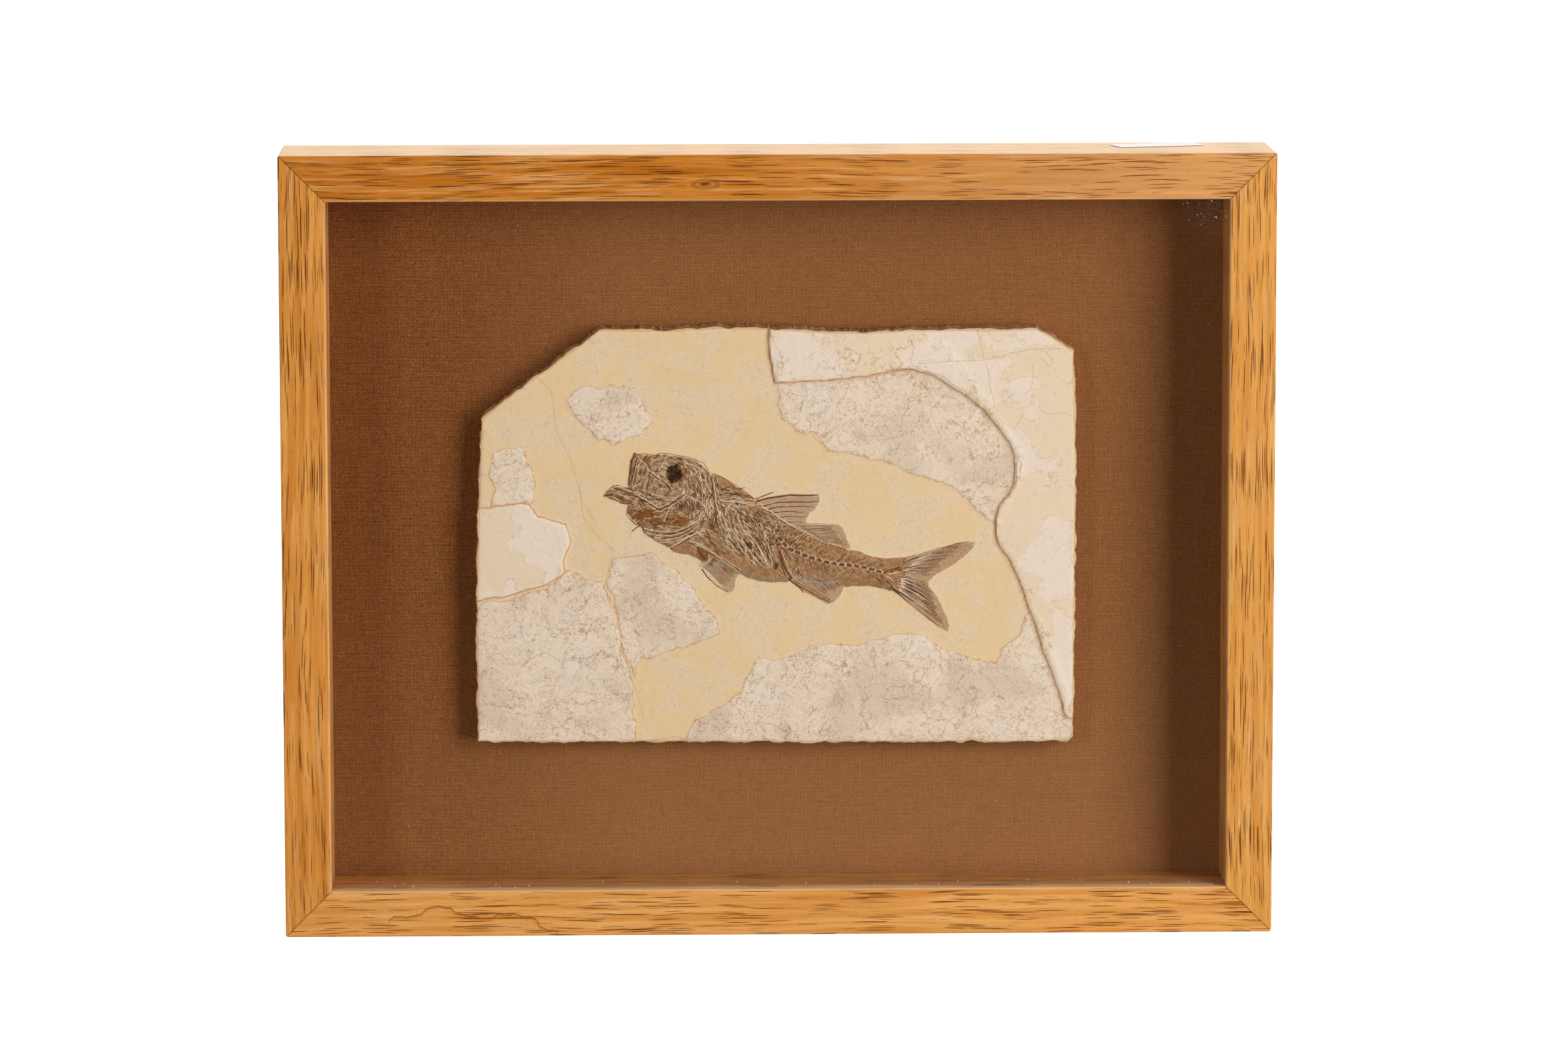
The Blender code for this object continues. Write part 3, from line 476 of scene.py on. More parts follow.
slabLook = {
    "columns": 286, "rows": 190, "bed": 12.1, "grey": 0.4, "white": 1.4, "plate": 1.1, "raggedness": 1.6,
    "denseAcross": (1.5, 0.19, 0.87), "denseUp": (1.5, 0.24, 0.74),        # finer mesh from share to share
    "wallSteps": (0.86, 0.66, 0.45, 0.24, 0.07), "ledge": 0.35, "hollow": -0.1, "chips": 0.28,
    "bottomEdge": [
        (0.2, 1.2), (54.4, 0.8), (106.6, 0.6), (179.8, 0.0), (250.9, -0.1), (254.5, 0.9), (257.2, 1.3),
        (263.4, -0.6), (305.6, 0.0), (308.5, 2.6),
    ],
    "topEdge": [
        (3.5, 169.8), (15.0, 179.2), (31.6, 191.6), (46.3, 202.0), (64.0, 215.4), (96.3, 214.9),
        (125.6, 216.2), (151.7, 215.7), (183.0, 213.9), (200.8, 213.4), (221.7, 214.8), (263.6, 214.8),
        (288.7, 215.2), (299.2, 209.3), (308.0, 203.4),
    ],
    "leftEdge": [
        (0.2, 1.2), (0.0, 74.9), (1.8, 137.5), (3.5, 169.8),
    ],
    "rightEdge": [
        (308.5, 2.6), (308.7, 29.3), (309.1, 81.6), (309.6, 144.4), (308.0, 203.4),
    ],
}

layers = {
    "white": [
        (151.7, 225), (151.1, 207.8), (152.7, 197.3), (154.4, 187.9), (169.4, 188.3), (192.4, 189.9),
        (211.3, 192.9), (223.8, 194.3), (236.4, 190.7), (248.9, 183.3), (261.5, 173.5), (269.8, 163.4),
        (275.7, 156.0), (278.2, 148.7), (277.1, 134.1), (274, 127.8), (269.8, 123.6), (267.7, 115.3),
        (268.1, 109), (269.8, 102.7), (276.1, 94.3), (278.6, 88), (281.3, 81.7), (284.4, 72.3),
        (288.6, 60.8), (292.8, 48.2), (297.4, 35.6), (301.1, 25.1), (304.7, 12.6), (307.4, 11.5),
        (320, 11), (320, 225),
    ],
    "plate": [
        (-10, 123.0), (14.9, 123.8), (26.4, 125.5), (31.6, 118.5), (39.9, 116.0), (46.6, 114.3),
        (48.3, 105.9), (44.5, 95.5), (45.1, 89.2), (36.8, 83.0), (19.0, 78.5), (1.3, 74.9), (-10, 74.0),
    ],
    "upper": [
        (156.0, 200.0), (155.9, 186.9), (156.9, 176.4), (159.0, 168.1), (165.2, 161.8), (175.7, 160.7),
        (180.9, 151.2), (196.6, 151.2), (216.5, 143.8), (228.0, 138.5), (244.7, 135.3), (255.1, 125.8),
        (263.5, 116.3), (270, 112.0), (284.0, 150.0), (240.0, 210.0),
    ],
    "cheek": [
        (47.3, 179.0), (54.6, 187.3), (64.0, 184.2), (71.3, 185.6), (83.8, 184.1), (86.9, 174.7),
        (91.1, 166.3), (83.8, 161.1), (71.3, 157.0), (60.8, 161.2), (52.5, 168.6),
    ],
    "edge": [
        (8.3, 151.0), (23.3, 155.1), (29.1, 145.7), (30.6, 134.2), (27.4, 125.9), (17.0, 122.8),
        (8.7, 124.9),
    ],
    "corner": [
        (-10, 70.0), (19.0, 76.0), (36.8, 80.5), (46.0, 90.0), (65.2, 83.2), (69.6, 73.5), (72.8, 66.1),
        (73.8, 51.5), (76.9, 41.0), (81.0, 30.6), (82.0, -10), (-10, -10),
    ],
    "lobe": [
        (70.2, 97.5), (79.6, 97.8), (90.0, 98.4), (106.7, 86.8), (121.3, 68.0), (125.5, 57.5),
        (108.8, 51.3), (96.2, 48.2), (83.7, 41.0), (82.6, 33.0), (78.4, 41.0), (75.3, 51.5), (74.3, 66.1),
        (68.0, 82.9),
    ],
    "bottom": [
        (107.7, -10), (107.9, 1.2), (111.9, 11.6), (125.4, 19.9), (134.8, 26.1), (138.0, 34.4),
        (144.3, 42.8), (158.9, 44.8), (173.5, 51.0), (200.7, 50.8), (215.3, 58.0), (227.9, 54.8),
        (248.8, 46.4), (267.7, 40.0), (270.8, 44.1), (269.7, 47.3), (280.2, 56.6), (283.4, 67.1),
        (291.0, 66.0), (312.0, 8.0), (312.0, -10),
    ],
}

fishShapes = {
    "body": [
        (80.9, 150.9), (82.2, 151.2), (86.7, 150.2), (97.7, 150.4), (107, 149.2), (113, 147.8),
        (118.1, 143.6), (120.4, 141.3), (127.3, 138.9), (133.3, 134.3), (138.8, 130.5), (143.4, 127.7),
        (147.1, 124), (152.6, 119.4), (157.7, 115.7), (163.7, 112.4), (170.2, 108.2), (174.8, 106.3),
        (180.8, 104), (191.8, 100.7), (198.5, 99.3), (204.5, 96.9), (212.8, 96), (222, 96.5), (221, 77),
        (212.8, 79.7), (206.3, 80.9), (200.9, 81.8), (194.4, 81.5), (190.2, 81.3), (188.7, 82.2),
        (181.7, 83.2), (172.5, 85.1), (165.5, 86.5), (161.9, 85.6), (160.9, 83.8), (151.7, 83.8),
        (146.1, 84.3), (140.1, 86.2), (136.9, 87.6), (123.1, 91.9), (110.1, 98.2), (102.3, 99.6),
        (99.6, 102.2), (95.9, 104.5), (90.3, 107.7), (86.6, 110.1), (85.3, 112.4), (81.6, 114.7),
        (79.3, 117), (77.7, 119.8), (77.9, 123), (79.2, 128), (78.1, 134.1), (78.6, 139.7), (79.5, 146.6),
    ],
    "jaw": [
        (65.7, 129.1), (67.3, 131.4), (69.1, 133.2), (71.9, 134.1), (75.6, 133.2), (79.3, 133.2),
        (84, 132.7), (86, 126), (78.3, 124.7), (71.4, 126.8),
    ],
    "firstDorsal": [
        (143.4, 127.2), (149.9, 127.4), (156.3, 128.6), (165.6, 129.5), (176.2, 129.4), (177.4, 128.5),
        (177.1, 125.3), (174.4, 121.6), (171.6, 119.3), (170.2, 116.5), (170.7, 114.0), (163.7, 110.5),
        (152.6, 117.0),
    ],
    "secondDorsal": [
        (163.7, 112.9), (171.6, 113.7), (180.8, 114.0), (186.6, 114.1), (188.7, 112.3), (190.5, 109.0),
        (191.8, 105.0), (193.6, 101.5), (189.0, 100.5), (174.8, 104.5), (163.7, 110.5),
    ],
    "anal": [
        (160.5, 86.5), (161.5, 84.5), (164.5, 82.0), (168.5, 79.2), (176.0, 75.4), (183.5, 72.4),
        (186.6, 75.0), (188.4, 78.0), (190.4, 82.5), (181.7, 84.5), (170.0, 86.5),
    ],
    "pelvic": [
        (114.6, 97.0), (116.6, 92.0), (119.4, 89.6), (124.9, 83.2), (130.2, 78.3), (133.2, 80.2),
        (133.9, 85.8), (136.5, 88.8), (124.0, 93.5),
    ],
    "tail": [
        (210.0, 96.0), (218.2, 96.3), (227.1, 98.0), (239.0, 101.5), (246.7, 103.5), (252.1, 104.4),
        (257.4, 104.5), (256.8, 102.0), (253.2, 97.9), (247.3, 93.1), (241.3, 89.6), (236.0, 86.7),
        (233.6, 83.7), (234.2, 80.7), (237.8, 76.0), (240.7, 70.0), (243.1, 65.2), (244.3, 60.5),
        (243.4, 57.2), (238.9, 59.9), (233.0, 64.1), (227.1, 69.5), (221.1, 74.9), (216.4, 77.9),
        (210.0, 80.2),
    ],
}

spine = [
    (156.6, 107.3), (158.2, 104.4), (160.9, 101.7), (164.9, 99.8), (169.5, 98.0), (175.2, 95.9),
    (180.9, 94.2), (186.7, 93.1), (192.4, 92.7), (198.1, 91.8), (201.6, 91.1), (205.6, 90.0),
    (209.6, 88.8),
]

greyLayers = ("upper", "cheek", "edge", "corner", "lobe", "bottom")
finShapes = ("firstDorsal", "secondDorsal", "anal", "pelvic", "tail")


def insideDistance(spots, outline):                            # millimetres, above zero inside
    corners = np.array(outline, float)
    nearest = np.full(len(spots), 1e9)
    inside = np.zeros(len(spots), bool)
    for start, end in zip(corners, np.roll(corners, -1, 0)):
        run = end - start
        offset = spots - start
        share = np.clip(offset @ run / (run @ run), 0, 1)
        nearest = np.minimum(nearest, np.hypot(*(offset - share[:, None] * run).T))
        crosses = (start[1] > spots[:, 1]) != (end[1] > spots[:, 1])
        rise = run[1] if run[1] != 0 else 1e-9
        inside ^= crosses & (spots[:, 0] < start[0] + (spots[:, 1] - start[1]) * run[0] / rise)
    return np.where(inside, nearest, -nearest)


noiseTables = {}


def roughNoise(spots, size, seed, octaves=3):                  # soft random heights from -1 to 1
    total = np.zeros(len(spots))
    weight = 1.0
    for octave in range(seed, seed + octaves):
        if octave not in noiseTables:
            noiseTables[octave] = np.random.default_rng(octave).uniform(-1, 1, (256, 256))
        table = noiseTables[octave]
        place = spots / size + 64
        cell = np.floor(place).astype(int)
        part = place - cell
        part = part * part * (3 - 2 * part)
        i, j = cell[:, 0] % 255, cell[:, 1] % 255
        low = table[i, j] * (1 - part[:, 0]) + table[i + 1, j] * part[:, 0]
        high = table[i, j + 1] * (1 - part[:, 0]) + table[i + 1, j + 1] * part[:, 0]
        total += weight * (low * (1 - part[:, 1]) + high * part[:, 1])
        weight *= 0.5
        size /= 2.1
    return total


def roughShift(spots, size, firstSeed, secondSeed, octaves):   # the same in two directions
    return np.column_stack([roughNoise(spots, size, seed, octaves) for seed in (firstSeed, secondSeed)])


def softStep(values, low, high):
    share = np.clip((values - low) / (high - low), 0, 1)
    return share * share * (3 - 2 * share)


def alongLine(points, shares):                                 # places at shares of a line's length
    points = np.array(points, float)
    reach = np.concatenate(([0], np.cumsum(np.hypot(*np.diff(points, axis=0).T))))
    return np.column_stack([np.interp(shares * reach[-1], reach, points[:, axis]) for axis in (0, 1)])


def packed(shares, dense, low, high):                          # moves them closer between low and high
    steps = np.linspace(0, 1, 4001)
    weight = np.where((steps > low) & (steps < high), dense, 1.0)
    total = np.concatenate(([0], np.cumsum((weight[1:] + weight[:-1]) / 2)))
    return np.interp(shares, total / total[-1], steps)


def stoneFields(spots):                                        # how far inside each layer and fish part
    drift = roughShift(spots, 7.0, 5, 15, 4) * slabLook["raggedness"]
    fine = roughShift(spots, 1.6, 25, 35, 2) * 0.3
    calm = {"white": 0.3, "plate": 0.45}
    fields = {name: insideDistance(spots + drift * calm.get(name, 1.0), outline)
              for name, outline in layers.items()}
    fields.update({name: insideDistance(spots + fine, outline) for name, outline in fishShapes.items()})
    fields["grey"] = np.max([fields[name] for name in greyLayers], axis=0)
    fields["fish"] = np.maximum(fields["body"], fields["jaw"])
    fields["fins"] = np.max([fields[name] for name in finShapes], axis=0)
    return fields


def stoneHeight(spots, fields):
    look = slabLook
    height = look["bed"] + 0.22 * roughNoise(spots, 45.0, 50, 2) + 0.05 * roughNoise(spots, 3.0, 60, 2)
    height += (look["grey"] * softStep(fields["grey"], -0.3, 0.5)
               + 0.06 * roughNoise(spots, 1.4, 70, 2) * (fields["grey"] > 0))
    height += look["white"] * softStep(fields["white"], -0.35, 0.55)
    height += look["plate"] * softStep(fields["plate"], -0.35, 0.55)
    height += 0.25 * softStep(fields["fins"], -0.2, 0.6)
    dome = softStep(fields["fish"], -0.3, 2.2) * 0.75 + softStep(fields["fish"], 1.0, 12.0) * 0.7
    bones = roughNoise(spots, 2.4, 80, 2) * softStep(fields["fish"], 0.5, 3.0)
    return height + dome + bones * 0.16


def makeSlab(look):
    bpy.ops.object.select_all(action="DESELECT")
    bpy.ops.mesh.primitive_grid_add(x_subdivisions=look["columns"], y_subdivisions=look["rows"], size=2)
    slab = bpy.context.object
    slab.name = "fossilSlab"
    mesh = slab.data
    flat = vertexPlaces(mesh)
    s = packed((flat[:, 0] + 1) / 2, *look["denseAcross"])
    t = packed((flat[:, 1] + 1) / 2, *look["denseUp"])
    bottom, top = alongLine(look["bottomEdge"], s), alongLine(look["topEdge"], s)
    left, right = alongLine(look["leftEdge"], t), alongLine(look["rightEdge"], t)
    lowLeft, lowRight, highLeft, highRight = (np.array(look[edge][end], float)
                                              for edge in ("bottomEdge", "topEdge") for end in (0, -1))
    s, t = s[:, None], t[:, None]
    spots = (1 - t) * bottom + t * top + (1 - s) * left + s * right
    spots -= ((1 - s) * (1 - t) * lowLeft + s * (1 - t) * lowRight + (1 - s) * t * highLeft
              + s * t * highRight)
    rim = np.minimum(np.minimum(s, 1 - s), np.minimum(t, 1 - t))[:, 0]
    broken = np.exp(-rim / 0.006)[:, None]
    spots += broken * 0.55 * roughShift(spots, 5.0, 90, 91, 3)
    height = stoneHeight(spots, stoneFields(spots))
    height -= np.exp(-rim / 0.0022) * (0.35 + 0.35 * roughNoise(spots, 4.0, 92, 2))
    world = np.column_stack([slabPlace["left"] + spots[:, 0] * mm, slabPlace["back"] - height * mm,
                             slabPlace["bottom"] + spots[:, 1] * mm])
    mesh.vertices.foreach_set("co", world.ravel())
    mesh.update()
    roughSides(slab, look)
    storeFields(slab, look)
    return slab


def vertexPlaces(mesh):
    places = np.empty(len(mesh.vertices) * 3)
    mesh.vertices.foreach_get("co", places)
    return places.reshape(-1, 3)


def roughSides(slab, look):                                    # the wall behind the rim, in ledges
    bpy.ops.object.mode_set(mode="EDIT")
    bpy.ops.mesh.select_mode(type="EDGE")
    bpy.ops.mesh.select_all(action="DESELECT")
    bpy.ops.mesh.select_non_manifold()
    chance = np.random.default_rng(7)
    for share in (*look["wallSteps"], 0.0):
        bpy.ops.mesh.extrude_region_move(TRANSFORM_OT_translate={"value": (0, 0.001, 0)})
        bpy.ops.object.mode_set(mode="OBJECT")
        out = (look["ledge"] if share in look["wallSteps"][1::2] else look["hollow"]) * mm
        for vertex in slab.data.vertices:
            if vertex.select:
                away = Vector((vertex.co.x, 0, vertex.co.z - 0.2)).normalized()
                vertex.co.y = slabPlace["back"] - share * look["bed"] * mm
                vertex.co += away * (out + chance.uniform(-look["chips"], look["chips"]) * mm)
        bpy.ops.object.mode_set(mode="EDIT")
    bpy.ops.mesh.edge_face_add()
    bpy.ops.mesh.select_all(action="SELECT")
    bpy.ops.mesh.normals_make_consistent(inside=False)
    bpy.ops.object.mode_set(mode="OBJECT")


def storeFields(slab, look):                                   # the fields that the paint reads
    places = vertexPlaces(slab.data)
    spots = np.column_stack([places[:, 0] - slabPlace["left"], places[:, 2] - slabPlace["bottom"]]) / mm
    fields = stoneFields(spots)
    outline = look["bottomEdge"] + look["rightEdge"][1:]
    outline += look["topEdge"][-2::-1] + look["leftEdge"][-2:0:-1]
    fields["rim"] = insideDistance(spots, outline)
    for name in ("white", "plate", "grey", "rim", "fish", "fins"):
        store = slab.data.attributes.new(name, "FLOAT", "POINT")
        store.data.foreach_set("value", np.clip(fields[name], -60, 400).astype(np.float32))


# the fish's bones and the stone's cracks, as fine ridges that lie in its surface

boneLook = {
    "tones": {                       # two colours for each kind of bone
        "dark": ((60, 36, 23), (95, 59, 38)), "cream": ((240, 217, 189), (217, 188, 156)),
        "tan": ((194, 156, 121), (166, 127, 92)), "rust": ((128, 69, 32), (95, 52, 27)),
        "amber": ((180, 108, 42), (124, 67, 25)), "spine": ((95, 52, 27), (130, 81, 48)),
        "vertebra": ((64, 34, 23), (106, 65, 42)), "grey": ((145, 115, 88), (116, 90, 67)),
        "crack": ((151, 117, 79), (182, 150, 112)),
    },
    "sink": {"crack": -0.8, "vertebra": -0.55, "cream": 0.2},  # how high a kind lies, in half widths
    "usualSink": -0.3, "tracedShare": 1.25, "eyeAt": (102.2, 140.6), "eyeRadius": 4.6,
    "dorsalFoot": [
        (146.0, 124.6), (155.8, 118.0), (163.2, 113.2), (170.6, 109.3), (179.0, 104.6), (190.0, 101.6),
    ],
    "rays": {                        # first and last root, first and last tip, count, half width, shortest
        "secondDorsal": ((163.4, 113.7), (179.5, 104.8), (184.6, 114.2), (192.6, 103.0), 15, 0.17, 0.72),
        "anal": ((164.0, 86.2), (185.4, 84.2), (182.4, 75.4), (188.7, 81.6), 15, 0.18, 0.7),
        "pelvic": ((116.2, 93.2), (122.8, 97.2), (130.2, 80.4), (135.4, 88.6), 12, 0.18, 0.75),
        "tailAbove": ((216.2, 93.0), (218.0, 89.0), (255.6, 105.0), (234.4, 86.6), 25, 0.19, 0.8),
        "tailBelow": ((217.6, 88.0), (212.6, 82.6), (234.6, 82.6), (243.0, 59.6), 25, 0.2, 0.82),
    },
    "flow": [                        # place, direction in degrees
        (83, 146, 76), (82, 138, 80), (88, 143, 60), (90, 137, -40), (96, 136, -36), (93, 145, -20),
        (99, 148, -6), (107, 148, -18), (110, 143, -80), (108, 136, 60), (101, 134, -10), (96, 129, -22),
        (104, 129, 32), (88, 131, -25), (94, 124, 10), (87, 119, -38), (103, 117, 18), (108, 125, -60),
        (114, 130, -80), (119, 138, -75), (121, 128, -86), (124, 120, -70), (92, 112, -14), (101, 111, 6),
        (110, 114, 38), (116, 119, 55), (104, 105, 26), (88, 110, -30), (113, 146, -38), (116, 106, -35),
        (125, 107, -32), (131, 134, -22), (131, 128, -4), (140, 127, -10), (127, 115, -68),
        (132, 122, -40), (137, 119, -52), (134, 108, -60), (140, 104, -56), (146, 100, -62),
        (151, 98, -74), (143, 114, -50), (150, 112, -45), (147, 120, -32), (156, 113, -38),
        (161, 109, 50), (168, 103, 46), (152, 106, -60), (70, 131, -18), (78, 131, -20), (158, 96, -66),
        (168, 92, -60), (120, 100, -35), (111, 100, -30),
    ],
    "strokes": [                     # middle, reach across and up, count, length, share that is cream
        ((100, 138), 23, 13, 300, 2.2, 0.56), ((98, 118), 21, 16, 220, 3.0, 0.5),
        ((118, 132), 7, 15, 140, 2.4, 0.62), ((131, 118), 9, 12, 200, 2.4, 0.55),
        ((140, 110), 13, 14, 220, 3.0, 0.5), ((148, 104), 9, 12, 90, 3.4, 0.45),
        ((134, 131), 13, 6, 70, 3.0, 0.3), ((150, 116), 11, 6, 90, 1.8, 0.3),
        ((124, 106), 10, 8, 80, 2.2, 0.4), ((76, 130), 11, 4, 60, 2.6, 0.5),
        ((164, 106), 12, 6, 130, 1.5, 0.2), ((170, 95), 14, 8, 60, 1.6, 0.25),
    ],
}

